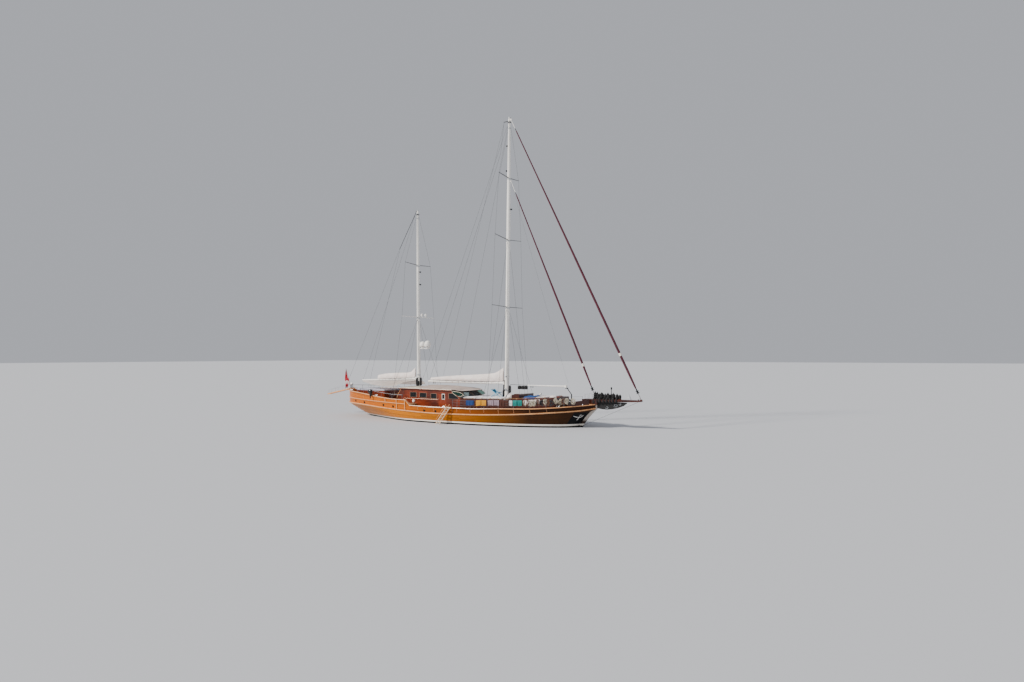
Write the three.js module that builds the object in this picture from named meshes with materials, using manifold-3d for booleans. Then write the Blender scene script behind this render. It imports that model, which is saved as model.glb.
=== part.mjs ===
// A two-masted wooden sailing yacht with a raised quarter deck, a deckhouse and a clipper bow.
// Millimetres. +X is the bow, +Y is port, +Z is up. The origin is on the centreline at the waterline.
import * as THREE from "three";
import { mergeVertices } from "three/addons/utils/BufferGeometryUtils.js";
import Module from "manifold-3d";

const wasm = await Module();
wasm.setup();

// Driving dimensions
const SEAT = 0.3; // gap between pieces that rest on each other
const KEEL_HALF = 120;
const RUB_HALF_HEIGHT = 60;
const RUB_DEPTH = 80;
const DECK_THICKNESS = 50;
const WALL = 80; // bulwark planking and frames
const CAP_THICKNESS = 70;
const CAP_OUTSIDE = 70;
const CAP_INSIDE = 110;
const CAP_LIFT = 2.5; // clearance under the cap rail, whose faces twist a little over the bulwark
const RAIL_INSET = 85; // stanchions stand this far inside the bulwark's outer face
const MID_HALF_HEIGHT = 45;
const QUARTER_FRONT = -4200; // front of the raised quarter deck and of its side rail
const HOUSE_HALF = 2200;
const HOUSE_WALL = 70;
const ROOF_THICKNESS = 90;
const LIFELINE_HEIGHT = 750;
const SIDES = [
  { side: "starboard", sign: -1 },
  { side: "port", sign: 1 },
];

// Lines of the hull as [x, value], from stern to bow
const KEEL_LINE = [
  [-15000, 1250], [-14700, 1120], [-14250, 890], [-13500, 490], [-12300, 50], [-11200, -290], [-9000, -960],
  [-7000, -1480], [-4000, -1960], [0, -2170], [5000, -2150], [8000, -2080], [10300, -1880], [11700, -1560],
  [12300, -1230], [12800, -660], [13180, -40], [13370, 235], [13600, 600], [13930, 1020], [14310, 1400],
  [14500, 1540], [14700, 1630], [14900, 1700],
];
const RUB_LINE = [
  [-15000, 1500], [-11200, 1440], [-8000, 1270], [-3900, 1080], [-300, 985], [3300, 1015], [6600, 1115],
  [9600, 1265], [12200, 1465], [13800, 1610], [14900, 1790],
];
const CAP_LINE = [
  [-15000, 2870], [-11200, 2680], [-8000, 2385], [-5500, 2225], [-4200, 2215], [-3620, 1690], [900, 1620],
  [3300, 1620], [6600, 1725], [9600, 1785], [12200, 1940], [14900, 2180],
];
const MID_LINE = [[-15000, 2080], [-9000, 1895], [-4200, 1760]];
const RUB_BREADTH = [
  [-15000, 430], [-14700, 860], [-14250, 1330], [-13500, 1900], [-12300, 2440], [-11000, 2860], [-9000, 3350],
  [-6700, 3750], [-4000, 4010], [-1000, 4110], [2000, 4090], [4400, 4000], [6500, 3790], [9000, 3290],
  [10300, 2900], [12000, 2210], [13200, 1460], [13950, 930], [14500, 490], [14900, 140],
];
const CAP_BREADTH = [
  [-15000, 460], [-14700, 910], [-14250, 1410], [-13500, 2020], [-12300, 2600], [-11000, 3040], [-9000, 3540],
  [-6700, 3900], [-4000, 4110], [-1000, 4190], [2000, 4180], [4400, 4110], [6500, 3950], [9000, 3520],
  [10300, 3170], [12000, 2520], [13200, 1790], [13950, 1240], [14500, 700], [14900, 190],
];
// How round the side is from the keel up to the rub rail: 1 is straight, 2 a quarter ellipse
const FULLNESS = [
  [-15000, 1.3], [-13500, 1.1], [-11000, 1.05], [-9000, 1.12], [-6700, 1.32], [-4000, 1.75], [0, 2.2],
  [4400, 2.0], [6500, 1.76], [10300, 1.62], [12000, 1.5], [13600, 1.3], [14900, 1.1],
];
const BOW_STATIONS = [
  14900, 14700, 14500, 14350, 14200, 14075, 13950, 13850, 13750, 13600, 13400, 13200, 12900, 12500, 12000,
  11400, 10700,
];
const STERN_STATIONS = [-11800, -12500, -13100, -13600, -14000, -14350, -14600, -14800, -14930, -15000];
const MIDDLE_STEP = 900;
const STERN_X = STERN_STATIONS[STERN_STATIONS.length - 1];

// Masts: foot and top of the centreline, radii at foot, two thirds and top
const MAIN_MAST = { footX: 5330, footZ: 2430, topX: 5640, topZ: 30500, radii: [220, 200, 120] };
const MIZZEN_MAST = { footX: -5620, footZ: 3360, topX: -5850, topZ: 22400, radii: [190, 165, 100] };
const MAIN_SPREADERS = [
  // height, half-length, rise of the tip
  [11500, 2950, 60],
  [18200, 2540, 240],
  [24400, 1920, 160],
];
const MIZZEN_SPREADERS = [
  [10800, 2750, 0],
  [16400, 2170, 120],
];
const BOOM_RADIUS = 105;
const MAIN_BOOM = { pivotX: 5000, z: 3930, endX: -4330, endZ: 3950 };
const MIZZEN_BOOM = { pivotX: -6050, z: 4180, endX: -13600, endZ: 3880 };
const STAY_BOOM = { pivotX: 11830, z: 3750, endX: 7700 };
const KNUCKLE = { radius: 120, height: 260 };

// Colours
const finish = (color, roughness, metalness = 0) =>
  new THREE.MeshStandardMaterial({ color, roughness, metalness });
const VARNISH = finish(0xa8571f, 0.35);
const BOTTOM_PAINT = finish(0x5a2a20, 0.8);
const RAIL_PAINT = finish(0xe8bf98, 0.5);
const TEAK = finish(0xb08a5c, 0.8);
const MAHOGANY = finish(0x6b2c18, 0.35);
const WHITE_PAINT = finish(0xf0efe8, 0.4);
const NAVY = finish(0x16204a, 0.4);
const CREAM_CLOTH = finish(0xe9ddbd, 0.9);
const MAROON_CLOTH = finish(0x5b1a24, 0.9);
const BLUE_CLOTH = finish(0x2c55a8, 0.9);
const YELLOW_CLOTH = finish(0xdcb53a, 0.9);
const GREY_CLOTH = finish(0x9a97a8, 0.9);
const TEAL_CLOTH = finish(0x2f9aa0, 0.9);
const WHITE_CLOTH = finish(0xe8edf0, 0.9);
const BLACK_RUBBER = finish(0x151515, 0.7);
const STEEL = finish(0xc9ccce, 0.3, 1);
const BRONZE = finish(0xb08142, 0.4, 1);
const GLASS = finish(0x6f9a97, 0.1);
const IRON = finish(0x2b2f33, 0.6, 0.5);

const ship = new THREE.Group();
ship.name = "sailing_yacht";

function add(name, geometry, material) {
  const mesh = new THREE.Mesh(geometry, material);
  mesh.name = name;
  ship.add(mesh);
  return mesh;
}

// A smooth curve through [x, value] points, which keeps rising and falling stretches as they are.
function curveOf(points) {
  const n = points.length;
  const slopes = [];
  for (let i = 0; i < n - 1; i++)
    slopes.push((points[i + 1][1] - points[i][1]) / (points[i + 1][0] - points[i][0]));
  const tangents = [slopes[0]];
  for (let i = 1; i < n - 1; i++) {
    const [a, b] = [slopes[i - 1], slopes[i]];
    tangents.push(a * b <= 0 ? 0 : (2 * a * b) / (a + b));
  }
  tangents.push(slopes[n - 2]);
  return (x) => {
    let i = 0;
    while (i < n - 2 && x > points[i + 1][0]) i++;
    const h = points[i + 1][0] - points[i][0];
    const t = Math.min(1, Math.max(0, (x - points[i][0]) / h));
    const [t2, t3] = [t * t, t * t * t];
    return (
      (2 * t3 - 3 * t2 + 1) * points[i][1] +
      (t3 - 2 * t2 + t) * h * tangents[i] +
      (3 * t2 - 2 * t3) * points[i + 1][1] +
      (t3 - t2) * h * tangents[i + 1]
    );
  };
}

// Straight stretches between the values of a curve at the stations: the faceted surface itself.
function atStations(curve, xs) {
  return (x) => {
    let i = 0;
    while (i < xs.length - 2 && x < xs[i + 1]) i++;
    const t = (x - xs[i]) / (xs[i + 1] - xs[i]);
    return curve(xs[i]) * (1 - t) + curve(xs[i + 1]) * t;
  };
}

const keelZ = curveOf(KEEL_LINE);
const rubZ = curveOf(RUB_LINE);
const capZ = curveOf(CAP_LINE);
const midLineZ = curveOf(MID_LINE);
const rubHalf = curveOf(RUB_BREADTH);
const capHalf = curveOf(CAP_BREADTH);
const fullness = curveOf(FULLNESS);

const STATIONS = [...BOW_STATIONS];
for (let x = 10000; x > -11000; x -= MIDDLE_STEP) STATIONS.push(x);
STATIONS.push(-3620, QUARTER_FRONT, ...STERN_STATIONS);
STATIONS.sort((a, b) => b - a);

const hullTopZ = atStations((x) => rubZ(x) + RUB_HALF_HEIGHT, STATIONS);
const deckZ = (x) => hullTopZ(x) + DECK_THICKNESS;
const midZ = (x) => (x <= QUARTER_FRONT + 1 ? midLineZ(x) : (rubZ(x) + capZ(x)) / 2);
const quarterDeckZ = atStations((x) => midLineZ(x) - 50, STATIONS);
const capTopZ = atStations(capZ, STATIONS);

// Half-breadth of the side above the rub rail
function sideHalf(x, z) {
  const t = (z - rubZ(x)) / (capZ(x) - rubZ(x));
  return rubHalf(x) + (capHalf(x) - rubHalf(x)) * t;
}

// Closed mesh through rings of equal length, in order, with flat ends.
function loft(rings) {
  const count = rings[0].length;
  const position = [];
  const push = (...ps) => ps.forEach((p) => position.push(p[0], p[1], p[2]));
  for (let i = 0; i < rings.length - 1; i++) {
    const [a, b] = [rings[i], rings[i + 1]];
    for (let j = 0; j < count; j++) {
      const k = (j + 1) % count;
      const aheadFirst = a[j][0] + a[k][0] >= b[j][0] + b[k][0];
      const risesToK = aheadFirst ? a[j][2] <= a[k][2] : b[j][2] <= b[k][2];
      if (aheadFirst === risesToK) push(a[j], b[j], b[k], a[j], b[k], a[k]);
      else push(a[j], b[j], a[k], a[k], b[j], b[k]);
    }
  }
  for (const [ring, flip] of [
    [rings[0], false],
    [rings[rings.length - 1], true],
  ]) {
    for (const face of flatFaces(ring)) {
      const [p, q, r] = face.map((index) => ring[index]);
      if (flip) push(p, r, q);
      else push(p, q, r);
    }
  }
  return facingOut(position);
}

// Triangles of a flat ring, wound as the ring is.
function flatFaces(ring) {
  const normal = [0, 0, 0];
  ring.forEach((p, i) => {
    const q = ring[(i + 1) % ring.length];
    normal[0] += (p[1] - q[1]) * (p[2] + q[2]);
    normal[1] += (p[2] - q[2]) * (p[0] + q[0]);
    normal[2] += (p[0] - q[0]) * (p[1] + q[1]);
  });
  const main = [0, 1, 2].reduce((m, i) => (Math.abs(normal[i]) > Math.abs(normal[m]) ? i : m), 0);
  const [u, v] = [(main + 1) % 3, (main + 2) % 3];
  const outline = ring.map((p) => new THREE.Vector2(p[u], p[v]));
  if (!THREE.ShapeUtils.isClockWise(outline)) return THREE.ShapeUtils.triangulateShape(outline, []);
  const turned = outline.slice().reverse();
  const last = ring.length - 1;
  return THREE.ShapeUtils.triangulateShape(turned, []).map((f) => [last - f[2], last - f[1], last - f[0]]);
}

function facingOut(position) {
  let volume = 0;
  for (let i = 0; i < position.length; i += 9) {
    const [ax, ay, az, bx, by, bz, cx, cy, cz] = position.slice(i, i + 9);
    volume += ax * (by * cz - bz * cy) + ay * (bz * cx - bx * cz) + az * (bx * cy - by * cx);
  }
  if (volume < 0)
    for (let i = 0; i < position.length; i += 9)
      for (let k = 0; k < 3; k++)
        [position[i + 3 + k], position[i + 6 + k]] = [position[i + 6 + k], position[i + 3 + k]];
  return new THREE.BufferGeometry().setAttribute("position", new THREE.Float32BufferAttribute(position, 3));
}

function solidOf(geometry) {
  const bare = geometry.clone();
  bare.deleteAttribute("normal");
  bare.deleteAttribute("uv");
  const merged = mergeVertices(bare, 0.01);
  return new wasm.Manifold(
    new wasm.Mesh({
      numProp: 3,
      vertProperties: merged.attributes.position.array,
      triVerts: new Uint32Array(merged.index.array),
    }),
  );
}

function geometryOf(solid) {
  const mesh = solid.getMesh();
  const geometry = new THREE.BufferGeometry();
  geometry.setAttribute("position", new THREE.BufferAttribute(mesh.vertProperties, 3));
  geometry.setIndex(new THREE.BufferAttribute(mesh.triVerts, 1));
  return geometry;
}

const join = (list) => geometryOf(list.map(solidOf).reduce((a, b) => a.add(b)));
const cut = (body, tools) => geometryOf(tools.map(solidOf).reduce((a, b) => a.subtract(b), solidOf(body)));
const mirrored = (geometry) => {
  const copy = geometry.index ? geometry.toNonIndexed() : geometry.clone();
  copy.scale(1, -1, 1);
  return facingOut(Array.from(copy.attributes.position.array));
};
const bothSides = (geometry) => join([geometry, mirrored(geometry)]);

function box(x0, x1, y0, y1, z0, z1) {
  const geometry = new THREE.BoxGeometry(x1 - x0, y1 - y0, z1 - z0);
  return geometry.translate((x0 + x1) / 2, (y0 + y1) / 2, (z0 + z1) / 2);
}

// A side view outline of [x, z] points, as a plate from y0 to y1
function plate(outline, y0, y1) {
  const shape = new THREE.Shape(outline.map(([x, z]) => new THREE.Vector2(x, z)));
  const geometry = new THREE.ExtrudeGeometry(shape, { depth: y1 - y0, bevelEnabled: false });
  return geometry.rotateX(Math.PI / 2).translate(0, y1, 0);
}

// A straight or bent round member through [x, y, z, radius] points, its rings square to one axis.
function member(points, sides, axis) {
  const rings = points.map(([x, y, z, radius]) =>
    Array.from({ length: sides }, (_, i) => {
      const angle = (i * 2 * Math.PI) / sides;
      const [c, s] = [radius * Math.cos(angle), radius * Math.sin(angle)];
      if (axis === "x") return [x, y + c, z + s];
      if (axis === "y") return [x + c, y, z + s];
      return [x + c, y + s, z];
    }),
  );
  return loft(rings);
}

// A turned piece along a line from one point towards another: profile of [radius, distance].
function turned(profile, from, towards, sides) {
  const points = profile.map(([radius, along]) => new THREE.Vector2(radius, along));
  const geometry = new THREE.LatheGeometry(points, sides);
  const direction = new THREE.Vector3(...towards).sub(new THREE.Vector3(...from)).normalize();
  const turn = new THREE.Quaternion().setFromUnitVectors(new THREE.Vector3(0, 1, 0), direction);
  return geometry.applyQuaternion(turn).translate(...from);
}

// A slab over [x, half-width low, half-width high] sections, lying on a surface.
function slab(sections, surface, thickness, lift = SEAT) {
  return loft(
    sections.map(([x, low, high]) => {
      const z = surface(x) + lift;
      return [[x, low, z], [x, high, z], [x, high, z + thickness], [x, low, z + thickness]];
    }),
  );
}

// A column of a table read along its first column, straight between the rows
const rowAt = (rows, column) => (x) => {
  let i = 0;
  while (i < rows.length - 2 && x > rows[i + 1][0]) i++;
  const t = (x - rows[i][0]) / (rows[i + 1][0] - rows[i][0]);
  return rows[i][column] * (1 - t) + rows[i + 1][column] * t;
};

const between = (low, high) => [high, ...STATIONS.filter((x) => x < high - 1 && x > low + 1), low];

// Hull
const HULL_ROWS = [0, 0.1, 0.22, 0.36, 0.5, 0.64, 0.8, 0.92, 1];
function hullHalfSection(x) {
  const bottom = keelZ(x);
  const top = rubZ(x) - RUB_HALF_HEIGHT;
  const power = fullness(x);
  const rows = HULL_ROWS.map((t) => {
    const out = Math.pow(1 - Math.pow(1 - t, power), 1 / power);
    return [KEEL_HALF + (rubHalf(x) - KEEL_HALF) * out, bottom + (top - bottom) * t];
  });
  const topZ = rubZ(x) + RUB_HALF_HEIGHT;
  rows.push([sideHalf(x, topZ), topZ]);
  return rows;
}

const hullRings = STATIONS.map((x) => {
  const half = hullHalfSection(x);
  return [...half.map(([y, z]) => [x, -y, z]), ...half.reverse().map(([y, z]) => [x, y, z])];
});
add("hull", loft(hullRings), VARNISH);

// Outward plan normals of the port side at each station, turning to face aft where the stern closes
function sideNormals(xs, closes) {
  const line = xs.map((x) => [x, rubHalf(x)]);
  return line.map(([x, y], i) => {
    const before = line[Math.max(0, i - 1)];
    const after = line[i + 1] || (closes ? [x, -y] : [x, y]);
    const length = Math.hypot(after[0] - before[0], after[1] - before[1]);
    return [(after[1] - before[1]) / length, (before[0] - after[0]) / length];
  });
}

// Sections along the port side, from bow to stern; each gets its place and the normal there.
function portSections(section, xs, closes = true) {
  const normals = sideNormals(xs, closes);
  return xs.map((x, i) => section(x, normals[i]));
}

// One piece from the bow along the port side, round the stern and back to the bow
function aroundStern(section, xs) {
  const port = portSections(section, xs);
  const starboard = port.map((ring) => ring.map(([x, y, z]) => [x, -y, z])).reverse();
  return loft([...port, ...starboard]);
}

// A point of the port side at a height, moved out along the normal
function sidePoint(x, z, normal, out, half = sideHalf(x, z)) {
  return [x + normal[0] * out, half + normal[1] * out, z];
}

function bulwarkSection(x, normal) {
  const low = rubZ(x) + RUB_HALF_HEIGHT + SEAT;
  const high = capZ(x) - CAP_THICKNESS;
  const mid = midZ(x);
  return [
    sidePoint(x, low, normal, 0),
    sidePoint(x, mid - MID_HALF_HEIGHT, normal, 0),
    sidePoint(x, mid + MID_HALF_HEIGHT, normal, 0),
    sidePoint(x, high, normal, 0),
    sidePoint(x, high, normal, -WALL),
    sidePoint(x, low, normal, -WALL),
  ];
}

// A rail on the side, rounded outside; the rub rail's lower edge lies on the hull's widest row.
function railSection(heightAt, halfHeight, onHull, depth) {
  return (x, normal) => {
    const z = heightAt(x);
    const point = (dz, out) => {
      const half = onHull && dz < 0 ? rubHalf(x) : sideHalf(x, z + Math.sign(dz) * halfHeight);
      return sidePoint(x, z + dz, normal, out + SEAT, half);
    };
    return [
      point(-halfHeight, 0),
      point(halfHeight, 0),
      point(halfHeight, depth * 0.6),
      point(halfHeight * 0.45, depth),
      point(-halfHeight * 0.45, depth),
      point(-halfHeight, depth * 0.6),
    ];
  };
}

function capSection(x, normal) {
  const high = capZ(x);
  const low = high - CAP_THICKNESS;
  const half = sideHalf(x, low);
  const at = (out, z) => sidePoint(x, z, normal, out, half);
  return [
    at(CAP_OUTSIDE, low + CAP_LIFT),
    at(CAP_OUTSIDE + 15, low + CAP_THICKNESS / 2),
    at(CAP_OUTSIDE, high),
    at(-CAP_INSIDE, high),
    at(-CAP_INSIDE - 10, low + CAP_THICKNESS / 2),
    at(-CAP_INSIDE, low + CAP_LIFT),
  ];
}

add("bulwark", aroundStern(bulwarkSection, STATIONS), VARNISH);

// Lugs on the cap rail that carry the boarding ladder's and the passerelle's pivots
const LADDER = {
  x: 1300, y: -4370, z: 1660, lowX: 150, lowY: -4740, lowZ: -150, half: 210, depth: 55, steps: 7, barOver: 100,
};
const PASSERELLE = { x: -15150, z: 2950, endX: -18800, endZ: 2180, half: 230 };
const PIVOT = { radius: 30, lug: 22, clear: 0.5 };
const lugs = [];
for (const { sign } of SIDES) {
  const ladderEnd = LADDER.x + sign * (LADDER.half + LADDER.barOver + PIVOT.clear);
  const [x0, x1] = [ladderEnd, ladderEnd + sign * PIVOT.lug].sort((a, b) => a - b);
  lugs.push(box(x0, x1, LADDER.y - 40, -capHalf(LADDER.x) - 20, LADDER.z - 60, LADDER.z + 35));
  const bridgeEnd = sign * (PASSERELLE.half + 40 + PIVOT.clear);
  const [y0, y1] = [bridgeEnd, bridgeEnd + sign * PIVOT.lug].sort((a, b) => a - b);
  lugs.push(box(PASSERELLE.x - 40, STERN_X, y0, y1, PASSERELLE.z - 110, PASSERELLE.z + 35));
}
add("cap_rail", join([aroundStern(capSection, STATIONS), ...lugs]), RAIL_PAINT);

// The rub rail and the quarter's side rail, tied together by upright guards
const underCap = (x) => capZ(x) - CAP_THICKNESS - 3;
const GUARDS = [
  // x, low end, high end
  [-4260, rubZ, underCap],
  [-5400, rubZ, underCap],
  [-7000, midLineZ, underCap],
];
const GUARD = { half: 35, depth: 62, clear: 4 };
const guards = GUARDS.map(([x, lowAt, highAt]) => {
  const ring = (z) => {
    const inside = Math.max(sideHalf(x - GUARD.half, z), sideHalf(x + GUARD.half, z)) + GUARD.clear;
    return [
      [x - GUARD.half, inside, z], [x + GUARD.half, inside, z],
      [x + GUARD.half, inside + GUARD.depth, z], [x - GUARD.half, inside + GUARD.depth, z],
    ];
  };
  return loft([ring(lowAt(x) + 20), ring(highAt(x))]);
});
const quarterStations = STATIONS.filter((x) => x <= QUARTER_FRONT);
add(
  "side_rails",
  join([
    aroundStern(railSection(rubZ, RUB_HALF_HEIGHT, true, RUB_DEPTH), STATIONS),
    aroundStern(railSection(midLineZ, MID_HALF_HEIGHT, false, RUB_DEPTH * 0.8), quarterStations),
    bothSides(join(guards)),
  ]),
  RAIL_PAINT,
);

// Decks lie between the bulwarks.
const DECK_EDGE = 16;
const STEEP = 0.8;
function deckRings(xs, lowAt, highAt, closes) {
  const section = (x, normal) => {
    const inset = WALL + DECK_EDGE;
    const straight = normal[1] > STEEP;
    const deckX = straight ? x : x - normal[0] * inset;
    const inside = (z) => (straight ? sideHalf(x, z) - inset / normal[1] : sideHalf(x, z) - normal[1] * inset);
    const [y0, y1] = [inside(lowAt(x)), inside(highAt(x))];
    return [
      [deckX, -y0, lowAt(deckX)], [deckX, -y1, highAt(deckX)],
      [deckX, y1, highAt(deckX)], [deckX, y0, lowAt(deckX)],
    ];
  };
  return portSections(section, xs, closes);
}
const DECK_LIFT = 0.8;
const deckUnder = (x) => hullTopZ(x) + DECK_LIFT;
const mainDeckStations = between(QUARTER_FRONT + DECK_EDGE, 14700);
const deckSlab = loft(deckRings(mainDeckStations, deckUnder, deckZ, false));

// Fore hatch: its coaming is built on the deck, its lid hinged at the front
const HATCH = { x0: 11650, x1: 12250, half: 300, height: 160 };
const coaming = slab(
  between(HATCH.x0, HATCH.x1).map((x) => [x, -HATCH.half, HATCH.half]),
  deckZ,
  HATCH.height,
  -10,
);
const hatchHole = box(HATCH.x0 + 60, HATCH.x1 - 60, -HATCH.half + 60, HATCH.half - 60, deckZ(HATCH.x0) + 20, 2600);
add("main_deck", cut(join([deckSlab, coaming]), [hatchHole]), TEAK);
const LID_EDGE = 30;
const lid = slab(
  between(HATCH.x0 - LID_EDGE, HATCH.x1 + LID_EDGE).map((x) => [x, -HATCH.half - LID_EDGE, HATCH.half + LID_EDGE]),
  deckZ,
  45,
  HATCH.height - 10 + 1,
);
add("hatch_lid", lid, TEAK);
add("quarter_deck", loft(deckRings(quarterStations, deckUnder, quarterDeckZ, true)), TEAK);

// Sunbed on the quarter deck: x, half-width
const SUNBED = [[-13600, 1100], [-13100, 1350], [-11800, 1600], [-9000, 1650]];
const SUNBED_TOP = 2830;
const PAD = { inset: 20, thickness: 200 };
const sunbedHalf = rowAt(SUNBED, 1);
const [sunbedAft, sunbedFore] = [SUNBED[0][0], SUNBED[SUNBED.length - 1][0]];
function sunbedSlab(inset, lowAt, high) {
  return loft(
    between(sunbedAft + inset, sunbedFore - inset).map((x) => {
      const [half, low] = [sunbedHalf(x) - inset, lowAt(x)];
      return [[x, -half, low], [x, half, low], [x, half, high], [x, -half, high]];
    }),
  );
}
add("sunbed_base", sunbedSlab(0, (x) => quarterDeckZ(x) + SEAT, SUNBED_TOP), MAHOGANY);
add("sunbed_cushion", sunbedSlab(PAD.inset, () => SUNBED_TOP + SEAT, SUNBED_TOP + PAD.thickness), WHITE_CLOTH);

// Keel, stem and head
const KEEL_JOINT = 12500;
const KEEL_AFT = -10900;
const SHOE = { top: -2550, bottom: -2780, aft: -12050 };
const keelTop = between(KEEL_AFT, KEEL_JOINT).map((x) => [x, atStations(keelZ, STATIONS)(x) - SEAT]);
const keelOutline = [
  ...keelTop,
  [KEEL_AFT, SHOE.top],
  [SHOE.aft, SHOE.top],
  [SHOE.aft, SHOE.bottom],
  [-11000, -2850],
  [9500, -2460],
  [11300, -2150],
  [KEEL_JOINT, -1640],
];
const SHAFT = { z: -1450, radius: 55, fore: -10300, sides: 32 };
const shaftBore = member(
  [[SHAFT.fore - 20, 0, SHAFT.z, SHAFT.radius + SEAT * 2], [KEEL_AFT - 400, 0, SHAFT.z, SHAFT.radius + SEAT * 2]],
  SHAFT.sides,
  "x",
);
add("keel", cut(plate(keelOutline, -KEEL_HALF, KEEL_HALF), [shaftBore]), BOTTOM_PAINT);

const stemInside = STATIONS.filter((x) => x >= KEEL_JOINT).map((x) => [x, keelZ(x)]);
const stemOffset = stemInside.map(([x, z], i) => {
  const a = stemInside[Math.max(0, i - 1)];
  const b = stemInside[Math.min(stemInside.length - 1, i + 1)];
  const length = Math.hypot(b[0] - a[0], b[1] - a[1]);
  return [(a[1] - b[1]) / length, (b[0] - a[0]) / length, x, z];
});
const stemOuter = [
  [KEEL_JOINT + SEAT, -1640], [12900, -1150], [13180, -620], [13400, -230], [13570, 75], [13800, 440],
  [14130, 860], [14510, 1280], [14950, 1700], [15030, 1810],
];
const STEM_TOP = 2100;
const stemOutline = [
  ...stemOuter,
  [15050, STEM_TOP],
  [14900 + SEAT, STEM_TOP],
  ...stemOffset.map(([nx, nz, x, z]) => [Math.max(KEEL_JOINT + SEAT, x + nx * SEAT), z + nz * SEAT]),
];
add("stem_post", plate(stemOutline, -KEEL_HALF, KEEL_HALF), VARNISH);

const HEAD_HALF = 100;
const headOutline = [
  [15050 + SEAT, 1815], [15500, 1740], [16000, 1715], [16500, 1770], [17000, 1880], [17550, 2080], [17900, 2340],
  [17860, 2398], [15200, 2398], [15100, 2178], [15050 + SEAT, 2178],
];
add("head_knee", plate(headOutline, -HEAD_HALF, HEAD_HALF), NAVY);

// Bowsprit platform: x, half-width, underside, top
const BOWSPRIT = [
  [13700, 520, 2181, 2640],
  [15100, 435, 2181, 2649],
  [15200, 430, 2400, 2650],
  [17200, 330, 2430, 2655],
  [19200, 230, 2520, 2660],
  [19350, 130, 2540, 2660],
];
const bowspritBoard = loft(
  BOWSPRIT.map(([x, w, low, high]) => [[x, -w, high], [x, w, high], [x, w * 0.75, low], [x, -w * 0.75, low]]),
);
const bowspritTop = (x) => {
  const i = BOWSPRIT.findIndex((row) => row[0] >= x);
  const [a, b] = [BOWSPRIT[Math.max(0, i - 1)], BOWSPRIT[i]];
  const t = i ? (x - a[0]) / (b[0] - a[0]) : 0;
  return a[3] * (1 - t) + b[3] * t;
};

// Rudder and propeller
const RUDDER_X = -11750;
const rudderTop = -450;
const stockTop = Math.min(keelZ(RUDDER_X + 75), atStations(keelZ, STATIONS)(RUDDER_X + 75)) - 0.6;
const rudderOutline = [
  [-11610, rudderTop], [-11610, -2490], [-12700, -2490], [-12950, -2200], [-12900, -900], [-12500, rudderTop],
];
add(
  "rudder",
  join([
    plate(rudderOutline, -65, 65),
    member([[RUDDER_X, 0, -2549.5, 60], [RUDDER_X, 0, -2400, 60]], 16, "z"),
    member([[RUDDER_X, 0, -600, 75], [RUDDER_X, 0, stockTop, 75]], 16, "z"),
  ]),
  BOTTOM_PAINT,
);
const PROPELLER = { x: -11210, radius: 560, blades: 4 };
const propellerPieces = [
  member([[SHAFT.fore - 40, 0, SHAFT.z, SHAFT.radius], [-11150, 0, SHAFT.z, SHAFT.radius]], SHAFT.sides, "x"),
  turned(
    [[0, 0], [70, 0], [105, 60], [105, 180], [60, 260], [0, 280]], [-11060, 0, SHAFT.z], [-12000, 0, SHAFT.z], 16,
  ),
];
for (let i = 0; i < PROPELLER.blades; i++) {
  const blade = new THREE.Shape();
  blade.moveTo(-60, 60);
  blade.quadraticCurveTo(-230, 330, -90, 520);
  blade.quadraticCurveTo(0, PROPELLER.radius + 10, 90, 520);
  blade.quadraticCurveTo(230, 330, 60, 60);
  const geometry = new THREE.ExtrudeGeometry(blade, { depth: 24, bevelEnabled: false, curveSegments: 5 });
  geometry.translate(0, 0, -12).rotateY(THREE.MathUtils.degToRad(62)).rotateX(Math.PI / 2);
  geometry.rotateX((i * 2 * Math.PI) / PROPELLER.blades + 0.4);
  propellerPieces.push(geometry.translate(PROPELLER.x + 30, 0, SHAFT.z));
}
add("propeller", join(propellerPieces), BRONZE);

// Washboards stand on the cap rail at the bow.
const WASH = { aft: 12900, fore: 14500, low: 2400, rise: 0.13, thickness: 50 };
const washboard = loft(
  portSections(
    (x, normal) => {
      const half = sideHalf(x, capZ(x) - CAP_THICKNESS);
      const top = WASH.low + (x - WASH.aft) * WASH.rise;
      const at = (out, z) => sidePoint(x, z, normal, out, half);
      return [
        at(10, capZ(x) + SEAT), at(20, top), at(20 - WASH.thickness, top), at(10 - WASH.thickness, capZ(x) + SEAT),
      ];
    },
    STATIONS.filter((x) => x <= WASH.fore && x >= WASH.aft),
    false,
  ),
);
for (const { side, sign } of SIDES)
  add("washboard_" + side, sign > 0 ? washboard : mirrored(washboard), MAHOGANY);

// Rack of covered fenders on the bowsprit
const FENDERS = [
  // x, y, radius, height
  [14900, 260, 150, 620], [14960, -260, 150, 600], [15450, 190, 160, 660], [15500, -200, 150, 600],
  [16000, 170, 150, 620], [16050, -190, 150, 580], [16600, 0, 170, 560], [17150, 0, 150, 460],
];
const fenders = FENDERS.map(([x, y, radius, height]) => {
  const profile = [[0, 0], [radius, 0], [radius, height * 0.7], [radius * 0.7, height * 0.93], [0, height]];
  const z = bowspritTop(x) + 2;
  return turned(profile, [x, y, z], [x, y, z + 1], 12);
});
const tray = loft(
  [14700, 17330].map((x) => {
    const z = bowspritTop(x) + SEAT + 2;
    const half = x < 15000 ? 400 : 170;
    return [[x, -half, z], [x, half, z], [x, half, z + 60], [x, -half, z + 60]];
  }),
);
const stayHole = box(14760, 15040, -90, 90, 2600, 2800);
add("covered_fenders", join([cut(tray, [stayHole]), ...fenders]), BLACK_RUBBER);

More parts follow.
